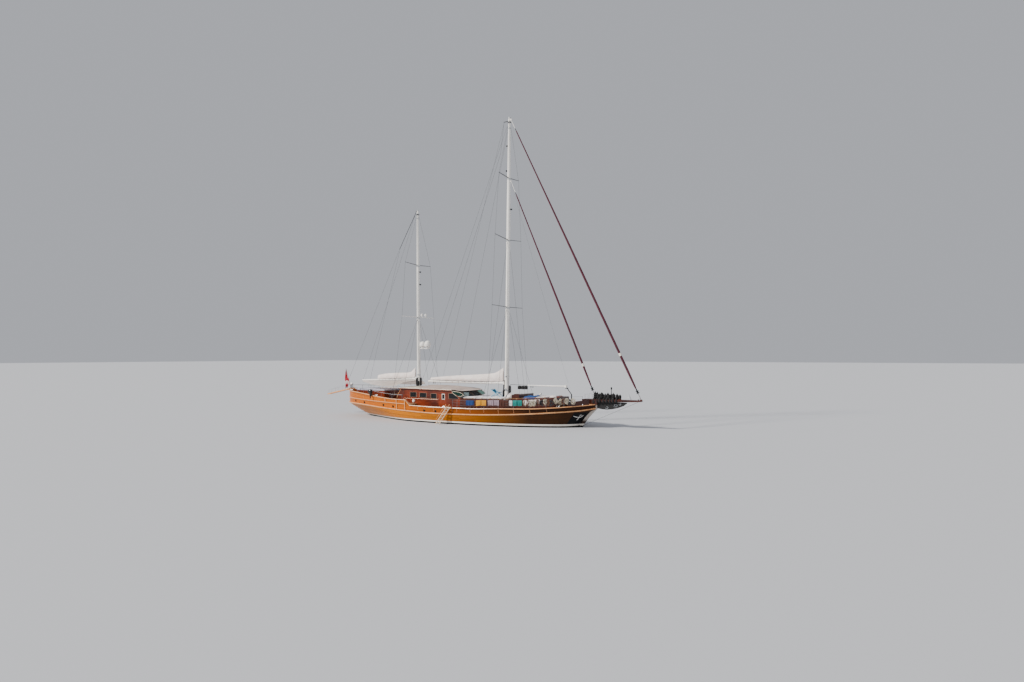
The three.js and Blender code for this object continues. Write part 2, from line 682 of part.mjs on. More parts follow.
// Windlass on the foredeck: a body on a base, and two drums on one shaft through it
const WINDLASS = { x: 12950, half: 240, shaft: 45, clear: 1, baseHalf: 300 };
WINDLASS.deck = deckZ(12800);
WINDLASS.axisZ = WINDLASS.deck + 330;
const windlassBase = loft(
  between(12780, 13120).map((x) => {
    const [w, low, high] = [WINDLASS.baseHalf, deckZ(x) + SEAT, WINDLASS.deck + 90];
    return [[x, -w, low], [x, w, low], [x, w, high], [x, -w, high]];
  }),
);
const windlassBody = box(12810, 13090, -WINDLASS.half, WINDLASS.half, WINDLASS.deck + 60, WINDLASS.deck + 560);
const shaftAlong = (reach, radius) =>
  member([[WINDLASS.x, -reach, WINDLASS.axisZ, radius], [WINDLASS.x, reach, WINDLASS.axisZ, radius]], 32, "y");
const windlassHole = shaftAlong(WINDLASS.half + 50, WINDLASS.shaft + WINDLASS.clear);
add("windlass", cut(join([windlassBase, windlassBody]), [windlassHole]), IRON);
const drum = member(
  [
    [WINDLASS.x, WINDLASS.half + 6, WINDLASS.axisZ, 150],
    [WINDLASS.x, WINDLASS.half + 40, WINDLASS.axisZ, 110],
    [WINDLASS.x, WINDLASS.half + 150, WINDLASS.axisZ, 95],
    [WINDLASS.x, WINDLASS.half + 200, WINDLASS.axisZ, 150],
  ],
  16,
  "y",
);
const drumShaft = shaftAlong(WINDLASS.half + 100, WINDLASS.shaft);
add("windlass_drums", join([drumShaft, drum, mirrored(drum)]), STEEL);

// Coachroof: x, half-width, top
const COACHROOF = [
  [1250, 2300, 2390],
  [6500, 2250, 2440],
  [10600, 1950, 2700],
  [11400, 1650, 2720],
];
const coachHalf = rowAt(COACHROOF, 1);
const coachTop = rowAt(COACHROOF, 2);
const coachXs = [...between(1250, 11400), 6500, 10600].sort((a, b) => b - a);
const coachShell = loft(
  coachXs.map((x) => {
    const [w, z0, z1] = [coachHalf(x), deckZ(x) + SEAT, coachTop(x)];
    return [
      [x, -w, z0], [x, -w + 40, z1 - 60], [x, -w + 110, z1], [x, w - 110, z1], [x, w - 40, z1 - 60], [x, w, z0],
    ];
  }),
);
const deckLocker = slab([[6750, -1500, 1500], [7550, -1500, 1500]], coachTop, 430, -10);
add("coachroof", join([coachShell, deckLocker]), MAHOGANY);

// Soft things on the coachroof
const SOFT = [
  // node, from x, to x, from y, to y, thickness, material
  ["mattress_aft", 2900, 4600, -2050, 2050, 120, WHITE_CLOTH],
  ["mattress_fore", 9400, 10450, -1750, 1750, 120, WHITE_CLOTH],
  ["blue_cover", 7900, 9300, -1500, 300, 350, BLUE_CLOTH],
];
for (const [name, x0, x1, y0, y1, thickness, material] of SOFT)
  add(name, slab([[x0, y0, y1], [x1, y0, y1]], coachTop, thickness, 1), material);

// Deckhouse
const HOUSE = { aft: -6700, aftTopX: -6400, front: 1250, roofFore: 150, roofAftZ: 3280, roofForeZ: 3210 };
const ROOF_REACH = 120; // how far the roof stands out past the sides, fore and aft
const roofUnder = (x) => {
  const t = (x - HOUSE.aftTopX) / (HOUSE.roofFore - HOUSE.aftTopX);
  return HOUSE.roofAftZ * (1 - t) + HOUSE.roofForeZ * t - ROOF_THICKNESS;
};
const SIDE_WINDOWS = [
  // aft x, fore x, low z, high z
  [-5050, -4260, 2370, 2860],
  [-3810, -2970, 2350, 2820],
  [-2370, -1700, 2290, 2780],
];
const DOOR = { x0: -1430, x1: -500, z1: 2760 };
DOOR.z0 = deckZ(DOOR.x1) + 130;
const quarterLight = [[-150, 2330], [-150, 2850], [420, 2850], [1010, 2440], [1020, 2330]];
const rectangle = ([x0, x1, z0, z1]) => [[x0, z0], [x1, z0], [x1, z1], [x0, z1]];
const houseSide = [
  ...between(QUARTER_FRONT + 1, HOUSE.front - 3).map((x) => [x, deckZ(x) + SEAT]),
  [QUARTER_FRONT + 1, quarterDeckZ(QUARTER_FRONT) + SEAT],
  ...between(HOUSE.aft, QUARTER_FRONT).slice(1).map((x) => [x, quarterDeckZ(x) + SEAT]),
  [HOUSE.aft, 2150],
  [HOUSE.aftTopX, roofUnder(HOUSE.aftTopX) - SEAT],
  [HOUSE.roofFore, roofUnder(HOUSE.roofFore) - SEAT],
  [HOUSE.front - 3, 2400],
];
for (const { side, sign } of SIDES) {
  const [y0, y1] = sign > 0 ? [HOUSE_HALF - HOUSE_WALL, HOUSE_HALF] : [-HOUSE_HALF, HOUSE_HALF * -1 + HOUSE_WALL];
  const holes = [...SIDE_WINDOWS.map(rectangle), quarterLight];
  if (sign < 0) holes.push(rectangle([DOOR.x0, DOOR.x1, DOOR.z0, DOOR.z1]));
  else holes.push(rectangle([DOOR.x0 + 100, DOOR.x1 - 100, 2290, DOOR.z1 - 20]));
  const windows = holes.map((hole) => plate(hole, y0 - 50, y1 + 50));
  add("deckhouse_side_" + side, cut(plate(houseSide, y0, y1), windows), MAHOGANY);
}
const inner = HOUSE_HALF - HOUSE_WALL - SEAT;
const BULKHEAD_X = -6380;
const COMPANION = { half: 350, top: 2980 };
const DOOR_GAP = { hinge: 0.6, edge: 6 };
const bulkheadBase = quarterDeckZ(BULKHEAD_X) + 1;
const bulkhead = box(BULKHEAD_X, BULKHEAD_X + 70, -inner, inner, bulkheadBase, roofUnder(BULKHEAD_X + 70) - 1);
const companionHole = box(
  BULKHEAD_X - 100, BULKHEAD_X + 200, -COMPANION.half, COMPANION.half, bulkheadBase + 100, COMPANION.top - 20,
);
add("deckhouse_aft", cut(bulkhead, [companionHole]), MAHOGANY);
add(
  "companion_door",
  box(
    BULKHEAD_X, BULKHEAD_X + 40, -COMPANION.half + DOOR_GAP.hinge, COMPANION.half - DOOR_GAP.edge, bulkheadBase + 106,
    COMPANION.top - 26,
  ),
  MAHOGANY,
);
add(
  "side_door",
  box(
    DOOR.x0 + DOOR_GAP.edge, DOOR.x1 - DOOR_GAP.hinge, -HOUSE_HALF, -HOUSE_HALF + 40, DOOR.z0 + 6, DOOR.z1 - 6,
  ),
  MAHOGANY,
);

// Canopy over the deckhouse roof, carried by bows: x, half-width, ridge, edge
const CANOPY = [
  [-4900, 300, 3400, 3390],
  [-3800, 2250, 3580, 3300],
  [-1060, 2300, 3560, 3270],
  [600, 2250, 3440, 3240],
  [1150, 1950, 3370, 3130],
  [2150, 300, 3230, 3205],
];
const CANOPY_THICKNESS = 16;
const BOW = { radius: 16, inset: 90 };
const ROOF_HALF = HOUSE_HALF + 130;
const ROOF_CAMBER = [[ROOF_HALF, 90], [1300, 150], [500, 170]]; // half-width, height over the underside
// A low bow on the roof, just under the canopy
function canopyBow([x, half, ridge, edge]) {
  const under = (y) => ridge + ((edge - ridge) * y) / half - CANOPY_THICKNESS - BOW.radius - SEAT;
  const y = half - BOW.inset;
  const leg = member([[x, y, roofUnder(x) + 40, BOW.radius], [x, y, under(y), BOW.radius]], 8, "z");
  const corner = y + BOW.radius;
  const rafter = member([[x, corner, under(corner), BOW.radius], [x, 0, under(0), BOW.radius]], 8, "y");
  return bothSides(join([leg, rafter]));
}
const roofShell = loft(
  [HOUSE.aftTopX - ROOF_REACH, HOUSE.roofFore + ROOF_REACH].map((x) => {
    const z = roofUnder(x);
    return [
      [x, -ROOF_HALF, z], [x, ROOF_HALF, z],
      ...ROOF_CAMBER.map(([y, rise]) => [x, y, z + rise]),
      ...ROOF_CAMBER.map(([y, rise]) => [x, -y, z + rise]).reverse(),
    ];
  }),
);
add("deckhouse_roof", join([roofShell, canopyBow(CANOPY[1]), canopyBow(CANOPY[2])]), CREAM_CLOTH);

// The windscreen slopes from the roof down to the coachroof.
const SCREEN = { topX: 190, topZ: 3105, lowX: 1180, lowZ: 2440, thickness: 50, bar: 45 };
const screenLength = Math.hypot(SCREEN.lowX - SCREEN.topX, SCREEN.topZ - SCREEN.lowZ);
const screenAngle = Math.atan2(SCREEN.topZ - SCREEN.lowZ, SCREEN.lowX - SCREEN.topX);
const PANES = 3;
const paneWidth = (2 * inner - SCREEN.bar * (PANES + 1)) / PANES;
const placeScreen = (geometry) =>
  geometry.rotateY(screenAngle).translate(SCREEN.topX, 0, SCREEN.topZ);
const screenHoles = [];
for (let i = 0; i < PANES; i++) {
  const y = -inner + SCREEN.bar + i * (paneWidth + SCREEN.bar);
  screenHoles.push(box(SCREEN.bar, screenLength - SCREEN.bar, y, y + paneWidth, -200, 200));
}
add(
  "windscreen_frame",
  placeScreen(cut(box(0, screenLength, -inner, inner, -SCREEN.thickness, 0), screenHoles)),
  MAHOGANY,
);
add(
  "windscreen_glass",
  placeScreen(box(20, screenLength - 20, -inner + 20, inner - 20, -SCREEN.thickness - 9, -SCREEN.thickness - 1)),
  GLASS,
);

// Helm inside the windscreen
const HELM = { x: -250, z: 2010, radius: 380 };
add(
  "helm_console",
  join([
    loft(
      between(-190, 150).map((x) => {
        const z = deckZ(x) + SEAT;
        return [[x, -450, z], [x, 450, z], [x, 450, 2150], [x, -450, 2150]];
      }),
    ),
    box(-215, -180, -60, 60, HELM.z - 60, HELM.z + 60),
  ]),
  MAHOGANY,
);
const rim = new THREE.TorusGeometry(HELM.radius, 22, 6, 24).rotateY(Math.PI / 2).translate(HELM.x, 0, HELM.z);
const helmPieces = [
  rim,
  member([[HELM.x - 40, 0, HELM.z, 60], [-215.5, 0, HELM.z, 60]], 16, "x"),
];
for (let i = 0; i < 6; i++) {
  const spoke = new THREE.CylinderGeometry(14, 16, HELM.radius + 120, 6);
  spoke.translate(0, (HELM.radius + 120) / 2, 0).rotateX((i * Math.PI) / 3);
  helmPieces.push(spoke.translate(HELM.x, 0, HELM.z));
}
add("helm_wheel", join(helmPieces), MAHOGANY);

// Masts
function mastX(mast, z) {
  return mast.footX + ((mast.topX - mast.footX) * (z - mast.footZ)) / (mast.topZ - mast.footZ);
}
function mastRadius(mast, z) {
  const t = (z - mast.footZ) / (mast.topZ - mast.footZ);
  const [foot, middle, top] = mast.radii;
  return t < 0.66 ? foot + ((middle - foot) * t) / 0.66 : middle + ((top - middle) * (t - 0.66)) / 0.34;
}
function mastGeometry(mast) {
  const heights = [mast.footZ, mast.footZ + 0.66 * (mast.topZ - mast.footZ), mast.topZ];
  return member(heights.map((z) => [mastX(mast, z), 0, z, mastRadius(mast, z)]), 16, "z");
}
function spreaders(mast, rows) {
  const pieces = rows.map(([z, half, rise]) => {
    const x = mastX(mast, z);
    const root = 20;
    const ring = (y, height, rx, rz) =>
      Array.from({ length: 8 }, (_, i) => {
        const angle = (i * Math.PI) / 4;
        return [x + rx * Math.cos(angle), y, height + rz * Math.sin(angle)];
      });
    return loft([ring(root, z, 95, 45), ring(half, z + rise, 60, 28)]);
  });
  return bothSides(join(pieces));
}
const mainFoot = coachTop(MAIN_MAST.footX) + SEAT + 40;
MAIN_MAST.footZ = mainFoot;
const mainStep = loft(
  [MAIN_MAST.footX - 320, MAIN_MAST.footX + 320].map((x) => {
    const z = coachTop(x) + SEAT;
    return [[x, -320, z], [x, 320, z], [x, 320, mainFoot + 20], [x, -320, mainFoot + 20]];
  }),
);
MIZZEN_MAST.footZ = roofUnder(MIZZEN_MAST.footX - 190) + ROOF_CAMBER[2][1] + SEAT;

// Gooseneck brackets: a web on the mast with a lug above and below the boom's knuckle
function gooseneck(mast, boom) {
  const low = boom.z - KNUCKLE.height / 2;
  const high = boom.z + KNUCKLE.height / 2;
  const face = mastX(mast, low) - 20;
  return join([
    box(boom.pivotX + KNUCKLE.radius + 8, face, -60, 60, low - 40, high + 40),
    box(boom.pivotX - 90, face - 10, -60, 60, high + 0.6, high + 40),
    box(boom.pivotX - 90, face - 10, -60, 60, low - 40, low - 0.6),
  ]);
}
const stayPost = join([
  member([[12440, 0, deckZ(12440) + 40, 60], [12400, 0, 3000, 55], [11960, 0, 3570, 50]], 12, "z"),
  loft(
    between(12365, 12560).map((x) => {
      const [low, high] = [deckZ(x) + SEAT, deckZ(x) + 60];
      return [[x, -160, low], [x, 160, low], [x, 160, high], [x, -160, high]];
    }),
  ),
  box(STAY_BOOM.pivotX - 70, 12050, -55, 55, 3540, STAY_BOOM.z - KNUCKLE.height / 2 - 0.6),
]);
add("staysail_boom_post", stayPost, IRON);

const BOOM_TAPER = 0.85;
const SPAR_START = 60; // the spar's fore end, aft of its pivot
function boomGeometry(boom, endZ, radius) {
  const knuckle = member(
    [
      [boom.pivotX, 0, boom.z - KNUCKLE.height / 2, KNUCKLE.radius],
      [boom.pivotX, 0, boom.z + KNUCKLE.height / 2, KNUCKLE.radius],
    ],
    16,
    "z",
  );
  const spar = [[boom.endX, 0, endZ, radius * BOOM_TAPER], [boom.pivotX - SPAR_START, 0, boom.z, radius]];
  return join([knuckle, member(spar, 12, "x")]);
}
add("main_boom", boomGeometry(MAIN_BOOM, MAIN_BOOM.endZ, BOOM_RADIUS + 25), WHITE_PAINT);
add("mizzen_boom", boomGeometry(MIZZEN_BOOM, MIZZEN_BOOM.endZ, BOOM_RADIUS), WHITE_PAINT);
add("staysail_boom", boomGeometry(STAY_BOOM, STAY_BOOM.z, 70), WHITE_PAINT);

// Sail covers over the booms: x, top, half-width, lift of the lower edge
const MAIN_COVER = [
  [4940, 5450, 100, 130], [4780, 5370, 120, 0], [4300, 5080, 170, 0], [3840, 4910, 230, 0], [1800, 4750, 300, 0],
  [-1500, 4550, 270, 0], [-4000, 4330, 150, 0],
];
const MIZZEN_COVER = [
  [-6100, 5340, 90, 130], [-6270, 5240, 110, 0], [-6750, 4890, 170, 0], [-8500, 4780, 230, 0],
  [-10000, 4700, 200, 0], [-11300, 4500, 120, 0],
];
function sailCover(rows, boom, radius) {
  const under = rowAt([[boom.endX, boom.endZ], [boom.pivotX - SPAR_START, boom.z]], 1);
  return loft(
    rows.map(([x, top, half, lift]) => {
      const low = under(x) + radius + SEAT + lift;
      const height = top - low;
      return [
        [x, -half * 0.8, low], [x, -half, low + height * 0.3], [x, -half * 0.55, low + height * 0.8], [x, 0, top],
        [x, half * 0.55, low + height * 0.8], [x, half, low + height * 0.3], [x, half * 0.8, low],
      ];
    }),
  );
}
add("main_sail_cover", sailCover(MAIN_COVER, MAIN_BOOM, BOOM_RADIUS + 25), CREAM_CLOTH);
add("mizzen_sail_cover", sailCover(MIZZEN_COVER, MIZZEN_BOOM, BOOM_RADIUS), CREAM_CLOTH);

// Awning under the mizzen boom, a diamond made fast to the mast and the quarter rails
const AWNING_THICKNESS = 16;
const awningRidge = rowAt(
  [
    [MIZZEN_BOOM.endX, MIZZEN_BOOM.endZ - BOOM_RADIUS * BOOM_TAPER],
    [MIZZEN_BOOM.pivotX - SPAR_START, MIZZEN_BOOM.z - BOOM_RADIUS],
  ],
  1,
);
const AWNING = [
  // x, half-width, edge, depth of the ridge under the boom
  [mastX(MIZZEN_MAST, 3990) - mastRadius(MIZZEN_MAST, 3990) - SEAT, 100, 3960, 96],
  [-6190, 400, 3940, 72],
  [-6400, 1700, 3850, 10],
  [-6700, 2480, 3540, 10],
  [-7650, 2500, 3450, 10],
  [-8600, 2300, 3435, 10],
  [-10200, 1800, 3480, 10],
  [-11900, 1000, 3620, 10],
  [-13500, 80, 3740, 10],
];
add(
  "aft_awning",
  loft(
    AWNING.map(([x, half, edge, depth]) => {
      const ridge = awningRidge(x) - depth;
      return [
        [x, -half, edge], [x, 0, ridge], [x, half, edge], [x, half, edge - AWNING_THICKNESS],
        [x, 0, ridge - AWNING_THICKNESS], [x, -half, edge - AWNING_THICKNESS],
      ];
    }),
  ),
  CREAM_CLOTH,
);

add(
  "roof_canopy",
  loft(
    CANOPY.map(([x, half, ridge, edge]) => [
      [x, -half, edge], [x, -half * 0.5, (edge + ridge * 2) / 3], [x, 0, ridge],
      [x, half * 0.5, (edge + ridge * 2) / 3],
      [x, half, edge], [x, half, edge - CANOPY_THICKNESS], [x, 0, ridge - CANOPY_THICKNESS],
      [x, -half, edge - CANOPY_THICKNESS],
    ]),
  ),
  CREAM_CLOTH,
);

// Standing rigging
const WIRE = 9;
const TIP_CLEAR = 12;
const CHAINPLATE_OUT = 35; // where the shrouds meet the cap rail, outside the bulwark's outer face
const SCREW = 20;
function shroud(mast, footX, topZ, tips) {
  const y = capHalf(footX) + CHAINPLATE_OUT;
  const z = capTopZ(footX) + 1;
  const top = mastRadius(mast, topZ) + BAND.width / 2;
  const head = [mastX(mast, topZ), top, topZ];
  const via = tips.map(([height, half, rise]) => [mastX(mast, height), half + WIRE + TIP_CLEAR, height + rise]);
  const next = via[0] || head;
  const along = (t) => [footX + (next[0] - footX) * t, y + (next[1] - y) * t, z + (next[2] - z) * t];
  const screwEnd = 600 / (next[2] - z);
  const points = [
    [footX, y, z, SCREW],
    [...along(screwEnd), SCREW],
    [...along(screwEnd + 0.002), WIRE],
    ...via.map((p) => [...p, WIRE]),
    [...head, WIRE],
  ];
  return member(points, 6, "z");
}
// The shrouds of both sides are made fast to a band round the masthead.
const BAND = { height: 80, width: 60 };
function capShrouds(mast, footX, topZ, tips) {
  const [x, hole] = [mastX(mast, topZ), mastRadius(mast, topZ - BAND.height) + SEAT];
  const disc = (radius, reach) => member([[x, 0, topZ - reach, radius], [x, 0, topZ + reach, radius]], 16, "z");
  const band = cut(disc(hole + BAND.width, BAND.height / 2), [disc(hole, BAND.height)]);
  return join([band, bothSides(shroud(mast, footX, topZ, tips))]);
}
add("main_shrouds", capShrouds(MAIN_MAST, 5560, 30000, MAIN_SPREADERS), STEEL);
add("mizzen_shrouds", capShrouds(MIZZEN_MAST, -5950, 21900, MIZZEN_SPREADERS), STEEL);

// Furled headsails on their stays: foot, head, the stay's ends, radii of the roll
const HEADSAILS = [
  { name: "jib", foot: [18960, 3280], head: [6270, 29300], low: 2660, high: 30250, radius: 150 },
  { name: "staysail", foot: [14580, 3450], head: [6300, 22900], low: 2648, high: 24100, radius: 125 },
];
const lowStays = [];
const highStays = [];
function stayRod(from, to) {
  const reach = Math.hypot(to[0] - from[0], to[2] - from[2]);
  return turned([[0, 0.6], [22, 0.6], [22, reach], [0, reach]], from, to, 10);
}
for (const { name, foot, head, low, high, radius } of HEADSAILS) {
  const length = Math.hypot(head[0] - foot[0], head[1] - foot[1]);
  const slope = (head[0] - foot[0]) / (head[1] - foot[1]);
  const [from, to] = [[foot[0], 0, foot[1]], [head[0], 0, head[1]]];
  const roll = [
    [0, 0], [150, 0], [150, 40], [90, 60], [90, 200], [150, 220], [150, 250], [60, 260], [60, 420],
    [radius * 0.8, 520], [radius, 2200], [radius * 0.95, length * 0.45], [radius * 0.6, length * 0.8],
    [55, length - 500], [40, length - 60], [40, length], [0, length],
  ];
  add("furled_" + name, turned(roll, from, to, 12), MAROON_CLOTH);
  const padX = foot[0] + (low + 40 - foot[1]) * slope;
  lowStays.push(stayRod(from, [padX, 0, low + 40]), box(padX - 90, padX + 90, -60, 60, low - 20, low + 80));
  const headX = head[0] + (high - head[1]) * slope;
  highStays.push(stayRod(to, [headX, 0, high]));
  highStays.push(box(mastX(MAIN_MAST, high), headX + 60, -50, 50, high - 90, high + 90));
}
add("bowsprit", join([bowspritBoard, ...lowStays]), MAHOGANY);
add(
  "main_mast",
  join([
    mastGeometry(MAIN_MAST),
    mainStep,
    spreaders(MAIN_MAST, MAIN_SPREADERS),
    gooseneck(MAIN_MAST, MAIN_BOOM),
    ...highStays,
  ]),
  WHITE_PAINT,
);

// Two satellite domes on a platform at the mizzen mast's fore side
const PLATFORM = { foreX: -4250, low: 7380, high: 7440, half: 60 };
const DOMES = [
  // x, radius, base
  [-4470, 360, 7560],
  [-5140, 300, 7600],
];
const DOME_PROFILE = [[0, 0], [0.75, 0], [0.97, 0.38], [1, 0.95], [0.82, 1.5], [0.47, 1.85], [0, 1.97]];
const domePieces = [
  box(
    mastX(MIZZEN_MAST, PLATFORM.low), PLATFORM.foreX, -PLATFORM.half, PLATFORM.half, PLATFORM.low, PLATFORM.high,
  ),
];
for (const [x, radius, base] of DOMES) {
  const profile = DOME_PROFILE.map(([out, up]) => [out * radius, up * radius]);
  domePieces.push(member([[x, 0, PLATFORM.high - 20, radius / 2], [x, 0, base + 10, radius / 2]], 16, "z"));
  domePieces.push(turned(profile, [x, 0, base], [x, 0, base + 1], 20));
}
add(
  "mizzen_mast",
  join([
    mastGeometry(MIZZEN_MAST),
    spreaders(MIZZEN_MAST, MIZZEN_SPREADERS),
    gooseneck(MIZZEN_MAST, MIZZEN_BOOM),
    ...domePieces,
  ]),
  WHITE_PAINT,
);

// Lifelines: stanchions on the cap rail with three lines
const STANCHION_STEP = 1500;
const GATE = 1600; // aft end of the lifelines
const FOOT_LIFT = 1.2;
const RAIL_FOOT_LIFT = 1.8;
// The point of the cap rail's top that lies a given distance inside the outer face at a station
function onCap(x, inset) {
  const slope = (capHalf(x + 50) - capHalf(x - 50)) / 100;
  const length = Math.hypot(slope, 1);
  return [x + (slope / length) * inset, capHalf(x) - inset / length, capTopZ(x)];
}
function lifelineRun(xs, heights, height) {
  const feet = xs.map((x) => onCap(x, RAIL_INSET));
  const pieces = feet.map(([x, y, z]) => member([[x, y, z + FOOT_LIFT, 18], [x, y, z + height, 14]], 6, "z"));
  for (const h of heights) pieces.push(member(feet.map(([x, y, z]) => [x, y, z + h, 8]), 4, "x"));
  return join(pieces);
}
const foreRun = [];
for (let x = 12650; x > GATE; x -= STANCHION_STEP) foreRun.push(x);
foreRun.push(GATE);
const LINES = [240, 480, LIFELINE_HEIGHT - 20];
const lifelines = lifelineRun(foreRun, LINES, LIFELINE_HEIGHT);
add("lifelines_port", lifelines, STEEL);
add("lifelines_starboard", mirrored(lifelines), STEEL);

// A low rail round the quarter and the stern
const STERN_RAIL = { height: 440, radius: 18 };
const quarterRun = [-4700, -6200, -7700, -9200, -10700, -12000, -13100, -13900, -14600];
const quarterFeet = [...quarterRun, -14930].map((x) => onCap(x, RAIL_INSET));
const railPath = quarterFeet.map(([x, y, z]) => [x, y, z + STERN_RAIL.height]);
const railRound = [...railPath, ...railPath.map(([x, y, z]) => [x, -y, z]).reverse()];
const railTube = loft(
  railRound.map(([x, y, z], i) => {
    const a = railRound[Math.max(0, i - 1)];
    const b = railRound[Math.min(railRound.length - 1, i + 1)];
    const length = Math.hypot(b[0] - a[0], b[1] - a[1]);
    const [nx, ny] = [-(b[1] - a[1]) / length, (b[0] - a[0]) / length];
    return Array.from({ length: 6 }, (_, k) => {
      const angle = (k * Math.PI) / 3;
      const out = STERN_RAIL.radius * Math.cos(angle);
      return [x + nx * out, y + ny * out, z + STERN_RAIL.radius * Math.sin(angle)];
    });
  }),
);
const railPosts = quarterFeet
  .slice(0, -1)
  .map(([x, y, z]) => member([[x, y, z + RAIL_FOOT_LIFT, 16], [x, y, z + STERN_RAIL.height, 14]], 6, "z"));
add("stern_rail", join([railTube, bothSides(join(railPosts))]), STEEL);

// Cloths hung outside the starboard lifelines; where one passes a stanchion it lies against it.
const CLOTHS = [
  // node, fore x, aft x, drop, distance from the line's axis, material
  ["cloth_blue", 4050, 3200, 560, 15.9, BLUE_CLOTH],
  ["cloth_yellow", 5400, 4300, 570, 15.9, YELLOW_CLOTH],
  ["cloth_grey", 6750, 5570, 560, 16.5, GREY_CLOTH],
  ["cloth_teal", 8950, 8100, 600, 17.0, TEAL_CLOTH],
];
const foreFeet = foreRun.map((x) => onCap(x, RAIL_INSET)).reverse();
const clothLine = rowAt(foreFeet, 1);
const CLOTH_THICKNESS = 12;
for (const [name, x0, x1, drop, out, material] of CLOTHS) {
  const top = LIFELINE_HEIGHT + 10;
  const xs = [x1, ...foreFeet.map((foot) => foot[0]).filter((x) => x < x0 && x > x1), x0];
  const outer = out + CLOTH_THICKNESS;
  const at = (x, reach, h) => [x, -clothLine(x) - reach, capTopZ(x) + h];
  const piece = loft(
    xs.map((x) => [at(x, out, top - drop), at(x, out, top), at(x, outer, top), at(x, outer, top - drop)]),
  );
  add(name, piece, material);
}

// Boarding ladder on the starboard side: two strings and their steps under a pivot bar
const ladderAt = (t) => [
  LADDER.x + (LADDER.lowX - LADDER.x) * t,
  LADDER.y + (LADDER.lowY - LADDER.y) * t,
  LADDER.z + (LADDER.lowZ - LADDER.z) * t,
];
const ladderPieces = [];
for (const { sign } of SIDES)
  ladderPieces.push(
    loft(
      [0, 1].map((t) => {
        const [x, y, z] = ladderAt(t);
        const [xs, d] = [x + sign * LADDER.half, LADDER.depth];
        return [[xs - 20, y - d, z], [xs + 20, y - d, z], [xs + 20, y + d, z], [xs - 20, y + d, z]];
      }),
    ),
  );
for (let i = 0; i < LADDER.steps; i++) {
  const [x, y, z] = ladderAt((i + 0.7) / LADDER.steps);
  ladderPieces.push(box(x - LADDER.half, x + LADDER.half, y - 90, y + 50, z - 15, z + 15));
}
const barEnds = [-1, 1].map((end) => LADDER.x + end * (LADDER.half + LADDER.barOver));
ladderPieces.push(member(barEnds.map((x) => [x, LADDER.y, LADDER.z, PIVOT.radius]), 12, "x"));
add("boarding_ladder", join(ladderPieces), CREAM_CLOTH);

// Passerelle from the stern: a tread between two side boards, turning on a bar
const gangBoard = (y0, y1, low, high) =>
  loft(
    [[PASSERELLE.x, PASSERELLE.z], [PASSERELLE.endX, PASSERELLE.endZ]].map(([x, z]) => [
      [x, y0, z + low], [x, y1, z + low], [x, y1, z + high], [x, y0, z + high],
    ]),
  );
const bridgeEdge = PASSERELLE.half - 40;
const bridgeBar = [-1, 1].map((end) => [PASSERELLE.x, end * (PASSERELLE.half + 40), PASSERELLE.z, PIVOT.radius]);
add(
  "passerelle",
  join([
    gangBoard(-bridgeEdge - 10, bridgeEdge + 10, -20, 20),
    gangBoard(-PASSERELLE.half, -bridgeEdge, -60, 60),
    gangBoard(bridgeEdge, PASSERELLE.half, -60, 60),
    member(bridgeBar, 12, "y"),
  ]),
  RAIL_PAINT,
);

// Flagstaff on the stern
const STAFF = { x: -14975, y: -400, z: capTopZ(-14975), topX: -15750, topZ: 5110 };
add(
  "flagstaff",
  member([[STAFF.x, STAFF.y, STAFF.z + 1.7, 24], [STAFF.topX, STAFF.y, STAFF.topZ, 16]], 8, "z"),
  MAHOGANY,
);
// Outboard motor on a bracket outside the starboard quarter rail
const OUTBOARD = { x: -9150, y: -3800, low: 2150, neck: 2760, top: 3110, half: 130 };
const bracketLow = capTopZ(OUTBOARD.x - OUTBOARD.half);
const bracketOut = -capHalf(OUTBOARD.x) + 20;
add(
  "outboard_motor",
  join([
    box(
      OUTBOARD.x - OUTBOARD.half, OUTBOARD.x + OUTBOARD.half, OUTBOARD.y, bracketOut, bracketLow, bracketLow + 280,
    ),
    member(
      [
        [OUTBOARD.x, OUTBOARD.y + 60, OUTBOARD.low, 70],
        [OUTBOARD.x, OUTBOARD.y + 60, OUTBOARD.neck - 200, 90],
        [OUTBOARD.x, OUTBOARD.y + 60, OUTBOARD.neck + 20, 150],
      ],
      12,
      "z",
    ),
    box(OUTBOARD.x - 240, OUTBOARD.x + 230, OUTBOARD.y - 150, OUTBOARD.y + 240, OUTBOARD.neck, OUTBOARD.top),
  ]),
  BLACK_RUBBER,
);

// Table between the deckhouse and the sunbed
const TABLE = { aft: -8350, fore: -7450, half: 650, legHalf: 60, height: 700, top: 45 };
add(
  "aft_table",
  join([
    slab(
      between(TABLE.aft, TABLE.fore).map((x) => [x, -TABLE.half, TABLE.half]),
      quarterDeckZ,
      TABLE.top,
      TABLE.height,
    ),
    slab(
      between(TABLE.aft + 250, TABLE.fore - 250).map((x) => [x, -TABLE.legHalf, TABLE.legHalf]),
      quarterDeckZ,
      TABLE.height + TABLE.top / 2,
    ),
  ]),
  TEAK,
);

export default ship;
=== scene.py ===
"""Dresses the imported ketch: the finishes of its solids, and the cloth, rigging and fittings that they carry."""

import logging
import math
from dataclasses import dataclass, field, replace
from enum import IntEnum
from functools import partial
from typing import Callable, Sequence

import bmesh
import bpy
from mathutils import Matrix, Vector, noise
from mathutils.bvhtree import BVHTree


